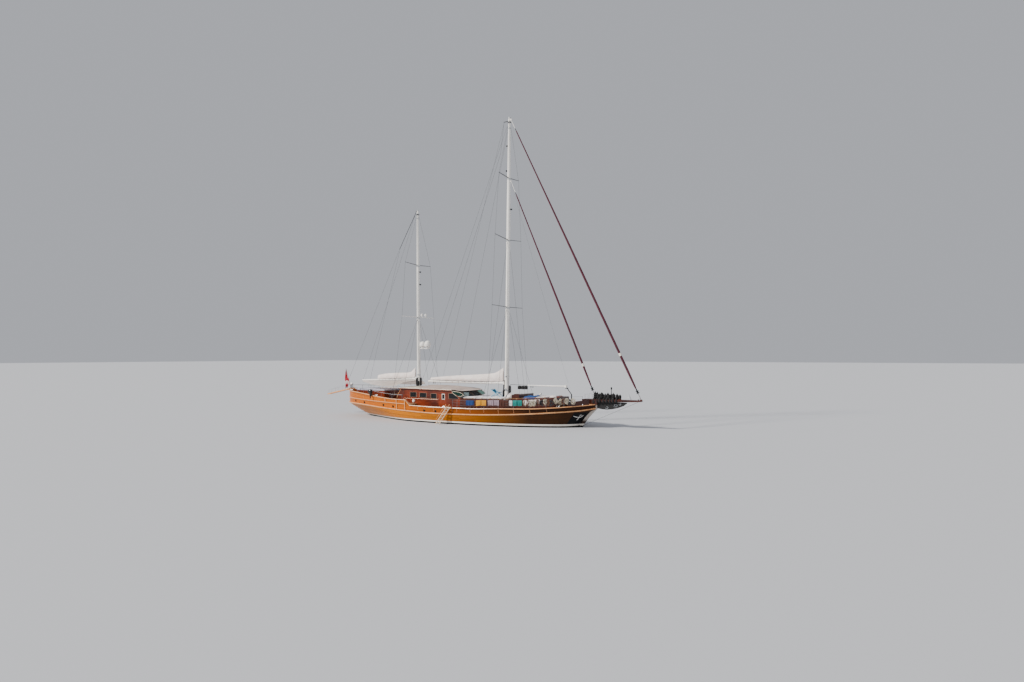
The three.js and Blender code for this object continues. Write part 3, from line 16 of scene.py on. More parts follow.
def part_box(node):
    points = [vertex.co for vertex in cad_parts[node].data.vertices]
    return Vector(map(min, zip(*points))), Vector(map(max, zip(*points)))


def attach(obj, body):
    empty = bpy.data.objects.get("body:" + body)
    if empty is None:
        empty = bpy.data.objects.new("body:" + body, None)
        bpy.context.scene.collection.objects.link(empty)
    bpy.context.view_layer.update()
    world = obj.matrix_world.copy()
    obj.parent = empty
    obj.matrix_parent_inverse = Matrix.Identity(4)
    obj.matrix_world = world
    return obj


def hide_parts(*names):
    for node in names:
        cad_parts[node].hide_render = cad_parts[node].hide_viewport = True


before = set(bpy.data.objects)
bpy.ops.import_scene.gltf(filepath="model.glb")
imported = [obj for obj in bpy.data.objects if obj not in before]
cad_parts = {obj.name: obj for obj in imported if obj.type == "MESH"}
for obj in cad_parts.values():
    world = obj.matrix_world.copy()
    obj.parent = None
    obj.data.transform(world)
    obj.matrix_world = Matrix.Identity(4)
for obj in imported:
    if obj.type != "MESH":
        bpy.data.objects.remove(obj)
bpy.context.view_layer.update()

LOG = logging.getLogger("ketch")
Point = tuple[float, float, float]
Hold = Sequence[float]
Tree, Socket, Thing = bpy.types.NodeTree, bpy.types.NodeSocket, bpy.types.Object
Adder = Callable[..., Socket]  # add_node, bound to the node tree that it builds
PICTURE_WIDTH = 1024  # pixels of the picture that the camera is set for


class Side(IntEnum):
    """A side of the yacht and its sign along Y."""

    STARBOARD = -1
    PORT = 1


def linear(code: str) -> tuple[float, float, float, float]:
    """Turns an sRGB hex value to linear colour.

    Args:
        code: The colour as "#rrggbb".

    Returns:
        Red, green, blue and an alpha of 1.
    """
    parts = [int(code[i : i + 2], 16) / 255 for i in (1, 3, 5)]
    red, green, blue = [p / 12.92 if p <= 0.04045 else ((p + 0.055) / 1.055) ** 2.4 for p in parts]
    return red, green, blue, 1.0


def add_node(tree: Tree, kind: str, feeds: dict | None = None, out: int | str = 0, **settings) -> Socket | None:
    """Adds a node with its settings and links.

    Args:
        tree: The node tree of a material.
        kind: Blender's type name of the node, after "ShaderNode".
        feeds: Input names or numbers, each with a value, an sRGB hex colour or the output that feeds it.
        out: The output that is wanted.
        **settings: The node's own properties.

    Returns:
        That output, or nothing from a node that has none.
    """
    node = tree.nodes.new("ShaderNode" + kind)
    for key, value in settings.items():
        setattr(node, key, value)
    for key, value in (feeds or {}).items():
        if isinstance(value, Socket):
            tree.links.new(value, node.inputs[key])
        else:
            node.inputs[key].default_value = linear(value) if isinstance(value, str) else value
    return node.outputs[out] if node.outputs else None


def curve_through(points: Sequence[tuple[float, float]], x: float) -> float:
    """Reads a table of [x, value] pairs, straight between its rows.

    Args:
        points: The rows, with x rising.
        x: The place to read.

    Returns:
        The value there.
    """
    for (x0, v0), (x1, v1) in zip(points, points[1:]):
        if x <= x1:
            return v0 + (v1 - v0) * max(0.0, (x - x0) / (x1 - x0))
    return points[-1][1]


def ripple(x: float, y: float, size: float, seed: float = 0.0) -> float:
    """Smooth noise over a surface.

    Args:
        x: First coordinate in metres.
        y: Second coordinate in metres.
        size: Width of one bump in metres.
        seed: Shifts the pattern.

    Returns:
        A value from about -1 to 1.
    """
    return noise.noise(Vector((x / size, y / size, seed)))


def bearings(count: int, closed: bool = False) -> list[float]:
    """Gives the angles that divide a turn, with the full turn too where a ring has to close."""
    return [math.tau * k / count for k in range(count + closed)]


def squared(value: float) -> float:
    """Gives a sine or cosine the shape that turns a circle into a rounded square."""
    return math.copysign(abs(value) ** 0.6, value)


def planks(
    add: Adder, along: Socket, across: Socket, width: float, butts: float, seam: Hold
) -> tuple[Socket, Socket]:
    """Draws rows of planks.

    Args:
        add: Adds a node to the material.
        along: Position along the planks in metres.
        across: Position across them in metres.
        width: Width of a plank in metres.
        butts: Planks' ends to a metre.
        seam: Where the seam starts and is full, as distances from a plank's middle line in plank widths.

    Returns:
        How much of the place is seam, and a tone from 0 to 1 for each plank.
    """
    row = add("Math", {0: across, 1: width}, operation="DIVIDE")
    inside = add("Math", {0: row}, operation="FRACT")
    centred = add("Math", {0: inside, 1: 0.5}, operation="SUBTRACT")
    edge = add("Math", {0: centred}, operation="ABSOLUTE")
    dark = add("MapRange", {0: edge, 1: seam[0], 2: seam[1]})
    number = add("Math", {0: row}, operation="FLOOR")
    butt = add("Math", {0: along, 1: butts}, operation="MULTIPLY")
    stagger = add("Math", {0: number, 1: 0.37, 2: butt}, operation="MULTIPLY_ADD")
    length = add("Math", {0: stagger}, operation="FLOOR")
    board = add("CombineXYZ", {0: length, 1: number})
    return dark, add("TexWhiteNoise", {0: board}, noise_dimensions="3D")


def blend(add: Adder, pattern: Socket, span: Hold, first: Socket | str, second: Socket | str) -> Socket:
    """Mixes a second colour into a first by a pattern.

    Args:
        add: Adds a node to the material.
        pattern: The pattern's value.
        span: The values where the second colour starts and is full, and its share there.
        first: The first colour.
        second: The second colour.

    Returns:
        The mixed colour.
    """
    share = add("MapRange", {0: pattern, 1: span[0], 2: span[1], 4: span[2]})
    return add("Mix", {0: share, 6: first, 7: second}, 2, data_type="RGBA")


def surface(
    add: Adder, colour: Socket | str, rough: Socket | float, relief: tuple[Socket, float, float],
    more: dict[str, float] | None = None,
) -> Socket:
    """Closes a finish with its shader.

    Args:
        add: Adds a node to the material.
        colour: The colour.
        rough: The roughness.
        relief: The height of the surface's relief, its strength, and its depth in metres.
        more: Other inputs of the shader.

    Returns:
        The shader's output.
    """
    height, strength, depth = relief
    bump = add("Bump", {"Height": height, "Strength": strength, "Distance": depth})
    return add("BsdfPrincipled", {"Base Color": colour, "Roughness": rough, "Normal": bump, **(more or {})})


# Finishes


@dataclass(frozen=True)
class Finish:
    """What a surface is made of. Positions in its patterns are metres in the yacht's frame."""

    name: str

    def dress(self, add: Adder, place: Socket) -> Socket:
        """Builds the surface's nodes.

        Args:
            add: Adds a node to the material.
            place: The position on the piece.

        Returns:
            The shader's output.
        """
        raise NotImplementedError

    def material(self) -> bpy.types.Material:
        """Gives the material, and makes it on first use.

        Returns:
            The material of this finish.
        """
        made = bpy.data.materials.get(self.name)
        if made is None:
            made = bpy.data.materials.new(self.name)
            made.use_nodes = True
            made.node_tree.nodes.clear()
            add = partial(add_node, made.node_tree)
            add("OutputMaterial", {"Surface": self.dress(add, add("TexCoord", out="Object"))})
        return made


@dataclass(frozen=True)
class VarnishedPlanking(Finish):
    """Iroko planks, sanded and brush varnished: narrow dark seams that follow the sheer, long grain, and a deep, glassy
    gloss. The wood's colour runs from golden aft to near black at the bow, which is painted shade. A painted boot
    stripe runs along the foot, with a near-black band under it."""

    # aft and fore: the wood's colour at either end; the near-black fore colour is painted shade on the bow
    aft: str = "#d27c02"
    fore: str = "#301a05"
    dark: str = "#6e3a08"
    plank: float = 0.14
    bottom: str = "#0c0a0a"
    stripe: str = "#efe9df"
    panel: str = ""  # paint of the bow panel, if the piece has one

    def dress(self, add: Adder, place: Socket) -> Socket:
        """Builds the surface's nodes.

        Args:
            add: Adds a node to the material.
            place: The position on the piece.

        Returns:
            The shader's output.
        """
        axes = add("SeparateXYZ", {0: place}).node.outputs
        x, z = axes["X"], axes["Z"]
        # The sheer rises as a parabola of x on both sides of its low point at 1.5 m
        shifted = add("Math", {0: x, 1: 1.5}, operation="SUBTRACT")
        square = add("Math", {0: shifted, 1: shifted}, operation="MULTIPLY")
        rise = add("Math", {0: square, 1: 0.0031}, operation="MULTIPLY")
        level = add("Math", {0: z, 1: rise}, operation="SUBTRACT")
        seam, tone = planks(add, x, level, self.plank, 0.22, (0.465, 0.495))
        stretched = add("VectorMath", {0: place, 1: (0.9, 14.0, 14.0)}, operation="MULTIPLY")
        grain = add("TexNoise", {"Vector": stretched, "Scale": 2.2, "Detail": 6.0})
        # Painted shade: the wood darkens from golden aft to near black at the bow
        base = blend(add, x, (-6.0, 9.5, 1.0), self.aft, self.fore)
        wood = blend(add, grain, (0.4, 0.75, 0.3), base, self.dark)
        shade = add("MapRange", {0: tone, 3: 0.84, 4: 1.12})
        toned = add("VectorMath", {0: wood, "Scale": shade}, operation="SCALE")
        seamed = add("Mix", {0: seam, 6: toned, 7: "#2c1608"}, 2, data_type="RGBA")
        colour, paint = self.paints(add, x, z, seamed)
        rough = add("MapRange", {0: paint, 3: 0.34, 4: 0.5})
        height = add("Math", {0: seam, 1: -1.0}, operation="MULTIPLY")
        return surface(add, colour, rough, (height, 0.5, 0.004), {"IOR": 1.4, "Specular IOR Level": 0.22})

    def paints(self, add: Adder, x: Socket, z: Socket, wood: Socket) -> tuple[Socket, Socket]:
        """Lays the bow panel, the boot stripe and a near-black band under it over the wood.

        Args:
            add: Adds a node to the material.
            x: Position along the yacht.
            z: Height.
            wood: Colour of the bare planks.

        Returns:
            The colour, and how much of it is paint.
        """
        colour = wood
        if self.panel:
            raked = add("Math", {0: z, 1: -0.68, 2: x}, operation="MULTIPLY_ADD")
            ahead = add("MapRange", {0: raked, 1: 12.33, 2: 12.36})
            lid = add("Math", {0: x, 1: -0.09, 2: z}, operation="MULTIPLY_ADD")
            under = add("MapRange", {0: lid, 1: 0.16, 2: 0.19, 3: 1.0, 4: 0.0})
            both = add("Math", {0: ahead, 1: under}, operation="MULTIPLY")
            colour = add("Mix", {0: both, 6: colour, 7: self.panel}, 2, data_type="RGBA")
        # The stripe's top edge sweeps up a little to the bow
        swept = add("Math", {0: x, 1: -0.003, 2: z}, operation="MULTIPLY_ADD")
        striped = add("MapRange", {0: swept, 1: 0.28, 2: 0.29, 3: 1.0, 4: 0.0})
        colour = add("Mix", {0: striped, 6: colour, 7: self.stripe}, 2, data_type="RGBA")
        # A near-black band along the foot of the planking, up to 0.15 m high
        foot_band = add("MapRange", {0: z, 1: 0.145, 2: 0.155, 3: 1.0, 4: 0.0})
        colour = add("Mix", {0: foot_band, 6: colour, 7: self.bottom}, 2, data_type="RGBA")
        return colour, striped


@dataclass(frozen=True)
class Timber(Finish):
    """Solid hardwood, varnished or left bare: straight grain along one axis with darker pores and a few streaks."""

    pale: str = "#6b2f1b"
    dark: str = "#35130b"
    grain: Point = (1.0, 16.0, 16.0)
    rough: float = 0.36
    coat: float = 0.15

    def dress(self, add: Adder, place: Socket) -> Socket:
        """Builds the surface's nodes.

        Args:
            add: Adds a node to the material.
            place: The position on the piece.

        Returns:
            The shader's output.
        """
        run = add("VectorMath", {0: place, 1: self.grain}, operation="MULTIPLY")
        streak = add("TexNoise", {"Vector": run, "Scale": 1.6, "Detail": 7.0})
        cloud = add("TexNoise", {"Vector": place, "Scale": 0.7, "Detail": 2.0})
        both = add("Math", {0: streak, 1: cloud}, operation="ADD")
        colour = blend(add, both, (0.75, 1.3, 1.0), self.pale, self.dark)
        return surface(
            add, colour, self.rough, (streak, 0.25, 0.002), {"IOR": 1.45, "Coat Weight": self.coat,
            "Coat Roughness": 0.15}
        )


@dataclass(frozen=True)
class LaidDeck(Finish):
    """Teak laid in straight planks with black caulking, left bare and scrubbed: silvery honey with dry grain. The
    50 mm planks are drawn 110 mm wide, because narrower ones are too fine to show."""

    pale: str = "#b8926a"
    dark: str = "#8a6540"
    plank: float = 0.11

    def dress(self, add: Adder, place: Socket) -> Socket:
        """Builds the surface's nodes.

        Args:
            add: Adds a node to the material.
            place: The position on the piece.

        Returns:
            The shader's output.
        """
        axes = add("SeparateXYZ", {0: place}).node.outputs
        seam, tone = planks(add, axes["X"], axes["Y"], self.plank, 0.3, (0.44, 0.47))
        run = add("VectorMath", {0: place, 1: (1.2, 26.0, 26.0)}, operation="MULTIPLY")
        grain = add("TexNoise", {"Vector": run, "Scale": 1.5, "Detail": 6.0})
        mixed = add("Math", {0: tone, 1: 0.5, 2: grain}, operation="MULTIPLY_ADD")
        wood = blend(add, mixed, (0.4, 1.1, 1.0), self.pale, self.dark)
        colour = add("Mix", {0: seam, 6: wood, 7: "#1c1512"}, 2, data_type="RGBA")
        return surface(add, colour, 0.72, (grain, 0.3, 0.003))


@dataclass(frozen=True)
class Enamel(Finish):
    """Yacht enamel brushed over wood or metal: an even colour with faint brush drag, rain streaks and rubbed
    places, under a soft gloss."""

    colour: str = "#f1eee6"
    worn: str = "#d5cfc2"
    rough: float = 0.32
    wear: float = 0.35
    gloss: float = 0.25
    arms: str = ""  # paint of what reaches sideways from a mast, over the height below
    arms_over: float = 0.0

    def dress(self, add: Adder, place: Socket) -> Socket:
        """Builds the surface's nodes.

        Args:
            add: Adds a node to the material.
            place: The position on the piece.

        Returns:
            The shader's output.
        """
        run = add("VectorMath", {0: place, 1: (9.0, 9.0, 0.8)}, operation="MULTIPLY")
        streak = add("TexNoise", {"Vector": run, "Scale": 1.2, "Detail": 4.0})
        patch = add("TexNoise", {"Vector": place, "Scale": 2.3, "Detail": 3.0})
        both = add("Math", {0: streak, 1: patch}, operation="MULTIPLY")
        colour = blend(add, both, (0.2, 0.42, self.wear), self.colour, self.worn)
        if self.arms:
            axes = add("SeparateXYZ", {0: place}).node.outputs
            reach = add("Math", {0: axes["Y"]}, operation="ABSOLUTE")
            arm = add("MapRange", {0: reach, 1: 0.225, 2: 0.235})
            high = add("Math", {0: axes["Z"], 1: self.arms_over}, operation="GREATER_THAN")
            both = add("Math", {0: arm, 1: high}, operation="MULTIPLY")
            colour = add("Mix", {0: both, 6: colour, 7: self.arms}, 2, data_type="RGBA")
        rough = add("MapRange", {0: patch, 1: 0.3, 2: 0.7, 3: self.rough - 0.06, 4: self.rough + 0.1})
        return surface(
            add, colour, rough, (streak, 0.12, 0.002), {"IOR": 1.45, "Coat Weight": self.gloss, "Coat Roughness": 0.2}
        )


@dataclass(frozen=True)
class RoofPaint(Finish):
    """Cream deck paint on top of the deckhouse roof, with a varnished mahogany edge round it: the flat faces are
    chalky and pale, and the upright ones red-brown and glossy."""

    top: str = "#d9cfbb"
    edge: str = "#6f321c"

    def dress(self, add: Adder, place: Socket) -> Socket:
        """Builds the surface's nodes.

        Args:
            add: Adds a node to the material.
            place: The position on the piece.

        Returns:
            The shader's output.
        """
        facing = add("NewGeometry", out="True Normal")
        up = add("SeparateXYZ", {0: facing}, "Z")
        flat = add("MapRange", {0: up, 1: 0.3, 2: 0.5})
        speck = add("TexNoise", {"Vector": place, "Scale": 60.0, "Detail": 3.0})
        dirt = add("TexNoise", {"Vector": place, "Scale": 1.1, "Detail": 4.0})
        pale = blend(add, dirt, (0.45, 0.8, 0.4), self.top, "#a89a82")
        colour = add("Mix", {0: flat, 6: self.edge, 7: pale}, 2, data_type="RGBA")
        rough = add("MapRange", {0: flat, 3: 0.3, 4: 0.7})
        return surface(add, colour, rough, (speck, 0.2, 0.001))


@dataclass(frozen=True)
class WovenCloth(Finish):
    """Cloth woven from spun yarn: a fine crossed weave, sewn panels, slack creases and water marks, with no
    gloss. Its 0.5 mm yarns are drawn far coarser, because they are too fine to show."""

    colour: str = "#e7dfcc"
    soiled: str = "#b9ad95"
    yarn: float = 0.012
    panel: float = 0.0  # distance between sewn seams along X, or 0 for none
    fuzz: float = 0.3
    crease: float = 0.5
    glow: float = 0.0  # share of the light that passes through the cloth

    def dress(self, add: Adder, place: Socket) -> Socket:
        """Builds the surface's nodes.

        Args:
            add: Adds a node to the material.
            place: The position on the piece.

        Returns:
            The shader's output.
        """
        warp = add("TexWave", {"Vector": place, "Scale": 0.16 / self.yarn, "Distortion": 0.6}, 1, bands_direction="X")
        weft = add("TexWave", {"Vector": place, "Scale": 0.16 / self.yarn, "Distortion": 0.6}, 1, bands_direction="Z")
        weave = add("Math", {0: warp, 1: weft}, operation="MULTIPLY")
        folds = add("TexNoise", {"Vector": place, "Scale": 2.6, "Detail": 5.0, "Distortion": 0.8})
        marks = add("TexNoise", {"Vector": place, "Scale": 0.9, "Detail": 3.0})
        colour = blend(add, marks, (0.42, 0.75, 0.55), self.colour, self.soiled)
        height = add("Math", {0: folds, 1: 6.0, 2: weave}, operation="MULTIPLY_ADD")
        if self.panel:
            x = add("SeparateXYZ", {0: place}, "X")
            cell = add("Math", {0: x, 1: self.panel}, operation="DIVIDE")
            inside = add("Math", {0: cell}, operation="FRACT")
            seam = add("MapRange", {0: inside, 1: 0.0, 2: 0.03, 3: 1.0, 4: 0.0})
            faint = add("Math", {0: seam, 1: 0.45}, operation="MULTIPLY")
            colour = add("Mix", {0: faint, 6: colour, 7: self.soiled}, 2, data_type="RGBA")
        bump = add("Bump", {"Height": height, "Strength": self.crease, "Distance": 0.006})
        cloth = add(
            "BsdfPrincipled", {"Base Color": colour, "Roughness": 0.88, "Normal": bump, "Sheen Weight": self.fuzz,
                               "Sheen Roughness": 0.5}
        )
        if not self.glow:
            return cloth
        lit = add("BsdfTranslucent", {"Color": colour, "Normal": bump})
        return add("MixShader", {0: self.glow, 1: cloth, 2: lit})


@dataclass(frozen=True)
class CushionVinyl(Finish):
    """Vinyl-coated cloth sewn over foam: smooth, slightly leathery and wipe-clean, with a cool white and soft
    highlights."""

    colour: str = "#dfe6f0"
    shade: str = "#b8c3d6"

    def dress(self, add: Adder, place: Socket) -> Socket:
        """Builds the surface's nodes.

        Args:
            add: Adds a node to the material.
            place: The position on the piece.

        Returns:
            The shader's output.
        """
        pores = add("TexVoronoi", {"Vector": place, "Scale": 90.0})
        marks = add("TexNoise", {"Vector": place, "Scale": 1.7, "Detail": 4.0})
        colour = blend(add, marks, (0.4, 0.75, 0.7), self.colour, self.shade)
        both = add("Math", {0: marks, 1: 4.0, 2: pores}, operation="MULTIPLY_ADD")
        return surface(add, colour, 0.5, (both, 0.25, 0.004), {"IOR": 1.5, "Sheen Weight": 0.1})


@dataclass(frozen=True)
class Metal(Finish):
    """Bare or painted metal: polished tube, cast fittings or galvanised iron, with fine wear and dull patches."""

    colour: str = "#d3d6d8"
    dull: str = "#9a9ea2"
    rough: float = 0.22
    metallic: float = 1.0
    pitch: float = 9.0  # patches a metre

    def dress(self, add: Adder, place: Socket) -> Socket:
        """Builds the surface's nodes.

        Args:
            add: Adds a node to the material.
            place: The position on the piece.

        Returns:
            The shader's output.
        """
        patch = add("TexNoise", {"Vector": place, "Scale": self.pitch, "Detail": 5.0})
        colour = blend(add, patch, (0.4, 0.7, 0.8), self.colour, self.dull)
        rough = add("MapRange", {0: patch, 1: 0.3, 2: 0.7, 3: self.rough, 4: self.rough + 0.22})
        return surface(add, colour, rough, (patch, 0.1, 0.001), {"Metallic": self.metallic})


@dataclass(frozen=True)
class GlassPane(Finish):
    """Toughened glass or cast acrylic: an opaque body, partly see-through where it is clear, with a hard reflection.
    The greenish body is a tint; the near-black body of the window glass is painted shade of the dark rooms behind it,
    and the pale one of the screen glass is painted sky reflection.
    """

    colour: str = "#1b2b33"
    clear: float = 0.0  # share of the light that passes straight through
    tint: str = "#c9d6d6"

    def dress(self, add: Adder, place: Socket) -> Socket:
        """Builds the surface's nodes.

        Args:
            add: Adds a node to the material.
            place: The position on the piece.

        Returns:
            The shader's output.
        """
        film = add("TexNoise", {"Vector": place, "Scale": 3.0, "Detail": 2.0})
        rough = add("MapRange", {0: film, 1: 0.3, 2: 0.7, 3: 0.03, 4: 0.12})
        body = add(
            "BsdfPrincipled", {"Base Color": self.colour, "Roughness": rough, "IOR": 1.52, "Specular IOR Level": 0.3}
        )
        if not self.clear:
            return body
        through = add("BsdfTransparent", {"Color": self.tint})
        return add("MixShader", {0: self.clear, 1: body, 2: through})


@dataclass(frozen=True)
class KnitSock(Finish):
    """Knitted acrylic stretched over a blown fender: ribs round it, a little fluff and no gloss. The 4 mm ribs
    are drawn 30 mm apart, because finer ones are too fine to show."""

    colour: str = "#040506"
    # high: the colour of the raised ribs, drawn lighter as a painted highlight, speckled by the fluff
    high: str = "#101216"
    rib: float = 0.03

    def dress(self, add: Adder, place: Socket) -> Socket:
        """Builds the surface's nodes.

        Args:
            add: Adds a node to the material.
            place: The position on the piece.

        Returns:
            The shader's output.
        """
        ribs = add("TexWave", {"Vector": place, "Scale": 0.16 / self.rib, "Distortion": 1.5}, 1, bands_direction="Z")
        fluff = add("TexNoise", {"Vector": place, "Scale": 45.0, "Detail": 4.0})
        both = add("Math", {0: ribs, 1: fluff}, operation="MULTIPLY")
        # Painted highlight: the raised ribs are drawn lighter, speckled by the fluff
        colour = add("Mix", {0: both, 6: self.colour, 7: self.high}, 2, data_type="RGBA")
        return surface(add, colour, 0.92, (both, 0.6, 0.006), {"Sheen Weight": 0.06, "Sheen Roughness": 0.6})


@dataclass(frozen=True)
class LaidRope(Finish):
    """Three-strand or braided rope: strands that cross the line at a slant and catch the light on one side."""

    colour: str = "#d8d0bd"
    shade: str = "#8f8672"
    strand: float = 0.03

    def dress(self, add: Adder, place: Socket) -> Socket:
        """Builds the surface's nodes.

        Args:
            add: Adds a node to the material.
            place: The position on the piece.

        Returns:
            The shader's output.
        """
        lay = add(
            "TexWave", {"Vector": place, "Scale": 0.16 / self.strand, "Distortion": 0.3}, 1, bands_direction="DIAGONAL"
        )
        colour = add("Mix", {0: lay, 6: self.shade, 7: self.colour}, 2, data_type="RGBA")
        return surface(add, colour, 0.8, (lay, 0.6, 0.003), {"Sheen Weight": 0.2})


@dataclass(frozen=True)
class MouldedPlastic(Finish):
    """Injection-moulded or gel-coated plastic: one even colour, a fine texture and a satin shine."""

    colour: str = "#0f1012"
    rough: float = 0.3

    def dress(self, add: Adder, place: Socket) -> Socket:
        """Builds the surface's nodes.

        Args:
            add: Adds a node to the material.
            place: The position on the piece.

        Returns:
            The shader's output.
        """
        speck = add("TexNoise", {"Vector": place, "Scale": 120.0, "Detail": 2.0})
        haze = add("TexNoise", {"Vector": place, "Scale": 5.0, "Detail": 3.0})
        rough = add("MapRange", {0: haze, 1: 0.3, 2: 0.7, 3: self.rough - 0.05, 4: self.rough + 0.12})
        return surface(add, self.colour, rough, (speck, 0.08, 0.0005), {"IOR": 1.5, "Coat Weight": 0.2})


HULL_VARNISH = VarnishedPlanking("varnished_iroko_hull", panel="#020409")
# The bulwark's near-black fore colour is painted shade on the bow
BULWARK_VARNISH = VarnishedPlanking(
    "varnished_iroko_bulwark", aft="#c2650b", fore="#271304", dark="#6e380c", plank=0.17
)
STEM_ENAMEL = VarnishedPlanking("enamelled_stem", aft="#cbc1b7", fore="#cbc1b7", dark="#a69c93", plank=9.0)
RAIL_ENAMEL = Enamel("enamelled_rail", colour="#e6a872", worn="#b06a38", rough=0.38, wear=0.6)
TREAD_ENAMEL = Enamel("enamelled_ladder", colour="#efdcc0", worn="#b99b78", rough=0.4, wear=0.5)
MAST_ENAMEL = Enamel("enamelled_spar", colour="#f4f2ee", worn="#d2cdc4", rough=0.25)
MAIN_MAST_ENAMEL = replace(MAST_ENAMEL, name="enamelled_main_mast", arms="#3a3d43", arms_over=4.0)
MIZZEN_MAST_ENAMEL = replace(MAIN_MAST_ENAMEL, name="enamelled_mizzen_mast", arms_over=13.0)
KNEE_ENAMEL = Enamel("enamelled_black_knee", colour="#040507", worn="#0b0c10", rough=0.55, wear=0.2, gloss=0.0)
SCROLL_ENAMEL = Enamel("enamelled_pale_scroll", colour="#7f858c", worn="#5c6066", rough=0.35)
ANTIFOULING = Enamel("antifouling_paint", colour="#171311", worn="#3a2a22", rough=0.75, wear=0.6)
TEAK_DECK = LaidDeck("laid_teak_deck")
TEAK = Timber("bare_teak", pale="#a9835a", dark="#7b5935", rough=0.7, coat=0.0)
MAHOGANY = Timber("varnished_mahogany", pale="#83300c", dark="#360e05")
MAHOGANY_UPRIGHT = Timber("varnished_mahogany_posts", pale="#9c3c0d", dark="#501708", grain=(16.0, 16.0, 1.0))
DARK_MAHOGANY = Timber("dark_varnished_mahogany", pale="#4c1a0b", dark="#210a05")
ROOF = RoofPaint("roof_deck_paint")
CANVAS = WovenCloth("acrylic_canvas", colour="#f2e8e4", soiled="#cdbcb2", panel=1.5, fuzz=0.1)
AWNING_CANVAS = WovenCloth(
    "acrylic_awning_canvas", colour="#ece3dc", soiled="#cfc3ba", panel=1.2, fuzz=0.1, crease=0.3, glow=0.45
)
CANOPY_CANVAS = WovenCloth(
    "weathered_canopy_canvas", colour="#cdbcb4", soiled="#9c8479", panel=1.2, fuzz=0.1, crease=0.3, glow=0.3
)
SAILCLOTH = WovenCloth("maroon_sailcloth", colour="#4c0f25", soiled="#2c0815", yarn=0.02, fuzz=0.05)
PATCH_CLOTH = WovenCloth("white_sailcloth", colour="#e8e3da", soiled="#b9b0a4", fuzz=0.1)
BLUE_COTTON = WovenCloth("blue_towelling", colour="#04326a", soiled="#032352", fuzz=0.05)
YELLOW_COTTON = WovenCloth("yellow_towelling", colour="#cf9118", soiled="#8f560a", fuzz=0.05)
GREY_COTTON = WovenCloth("lilac_grey_towelling", colour="#93808b", soiled="#5f515c", fuzz=0.05)
TEAL_COTTON = WovenCloth("teal_towelling", colour="#0b827c", soiled="#064a48", fuzz=0.05)
WHITE_COTTON = WovenCloth("white_towelling", colour="#dcdcdc", soiled="#a9abb2", fuzz=0.3)
BLUE_CANVAS = WovenCloth("blue_acrylic_canvas", colour="#043f7d", soiled="#042a5e", fuzz=0.05)
RED_BUNTING = WovenCloth("red_bunting", colour="#b3122b", soiled="#6d0a1b", yarn=0.02, fuzz=0.1)
PALE_BUNTING = WovenCloth("white_bunting", colour="#ecdcdc", soiled="#c99aa2", yarn=0.02, fuzz=0.1)
BLACK_CANVAS = WovenCloth("black_acrylic_canvas", colour="#0c0c10", soiled="#060608", fuzz=0.05)
# Painted shade: the sunbed pads' bluish grey is a shaded copy of the white pad cloth, for the awning's shade over the
# sunbed
SUNBED_VINYL_PAINTED_SHADE = CushionVinyl("sunbed_vinyl_painted_shade", colour="#b4b5c4", shade="#9496a8")
MATTRESS_COTTON = CushionVinyl("mattress_cotton", colour="#f6f1f2", shade="#e2dadd")
STAINLESS = Metal("polished_stainless_steel")
SATIN_STEEL = Metal("satin_stainless_steel", colour="#85888c", dull="#5f6266", rough=0.42)
WIRE = Metal("stranded_steel_wire", colour="#3d4046", dull="#26282c", rough=0.55, metallic=0.3)
GALVANISED = Metal("galvanised_iron", colour="#8b9094", dull="#5d6266", rough=0.45)
IRON = Metal("painted_cast_iron", colour="#2c3034", dull="#1b1d20", rough=0.5, metallic=0.3)
BRONZE = Metal("cast_bronze", colour="#5b3f22", dull="#2f2416", rough=0.4)
# Painted shade: the opaque near-black body stands for the dark rooms behind the window glass
DARK_GLASS = GlassPane("window_glass_painted_shade", colour="#0a0e12")
# Painted sky reflection: the pale blue-grey body brightens panes that lie in the canopy's shade
SCREEN_GLASS = GlassPane("clear_screen_glass", colour="#aab4bc", clear=0.75)
LENS_GLASS = GlassPane("green_lens_glass", colour="#17453e", clear=0.55, tint="#8fb5a8")
LAMP_GLASS = MouldedPlastic("opal_lamp_glass", colour="#f2f1ec", rough=0.25)
SOCK = KnitSock("knitted_fender_sock")
ROPE = LaidRope("laid_rope")
BROWN_ROPE = LaidRope("tarred_hemp_rope", colour="#7a5038", shade="#3c2418")
DARK_ROPE = LaidRope("black_braided_rope", colour="#2a2b30", shade="#101114")
COWLING = MouldedPlastic("moulded_black_cowling")
DOME_SHELL = MouldedPlastic("white_dome_shell", colour="#ecebe8", rough=0.35)
BROWN_WOOL = WovenCloth("brown_wool", colour="#4a2114", soiled="#220f08", fuzz=0.1)
PALE_FRAME = Enamel("enamelled_window_frame", colour="#9a8675", worn="#6f5a4a", rough=0.4)
SLING_CANVAS = WovenCloth("petrol_blue_canvas", colour="#0f5f86", soiled="#083a54", fuzz=0.05)
CHAIR_ENAMEL = Enamel("enamelled_chair_tube", colour="#4fa3c4", worn="#2f7f9f", rough=0.35)
CANVAS_PAINT = Enamel("enamelled_cream_moulding", colour="#e9dfca", worn="#bfb39a", rough=0.4)
PIPING = WovenCloth("piping_cord", colour="#c6cfde", soiled="#98a3b8", fuzz=0.1)


# Making meshes

POINT_RADIUS = 0.0004  # what a turned shape has where it comes to a point
SAME_POINT = 2e-5  # points nearer than this are one
MITRE = 1.3  # a moulding's corners run out further than its width
KNOB = ((0.012, 0), (0.012, 0.03), (0.028, 0.04), (0.028, 0.055), (0, 0.06))  # profile of a door knob
NEXT_LOOK = 0.03  # how far down a skin looks for its next place
BLOWN_FRAMES = 20  # steps of the simulation that blows pads up
SHARP_FOLD = 60.0  # degrees at which a rolled sail's folds stay sharp
OUTSIDE, ALOFT = 20.0, 60.0  # clear of the yacht's side, and of her mastheads


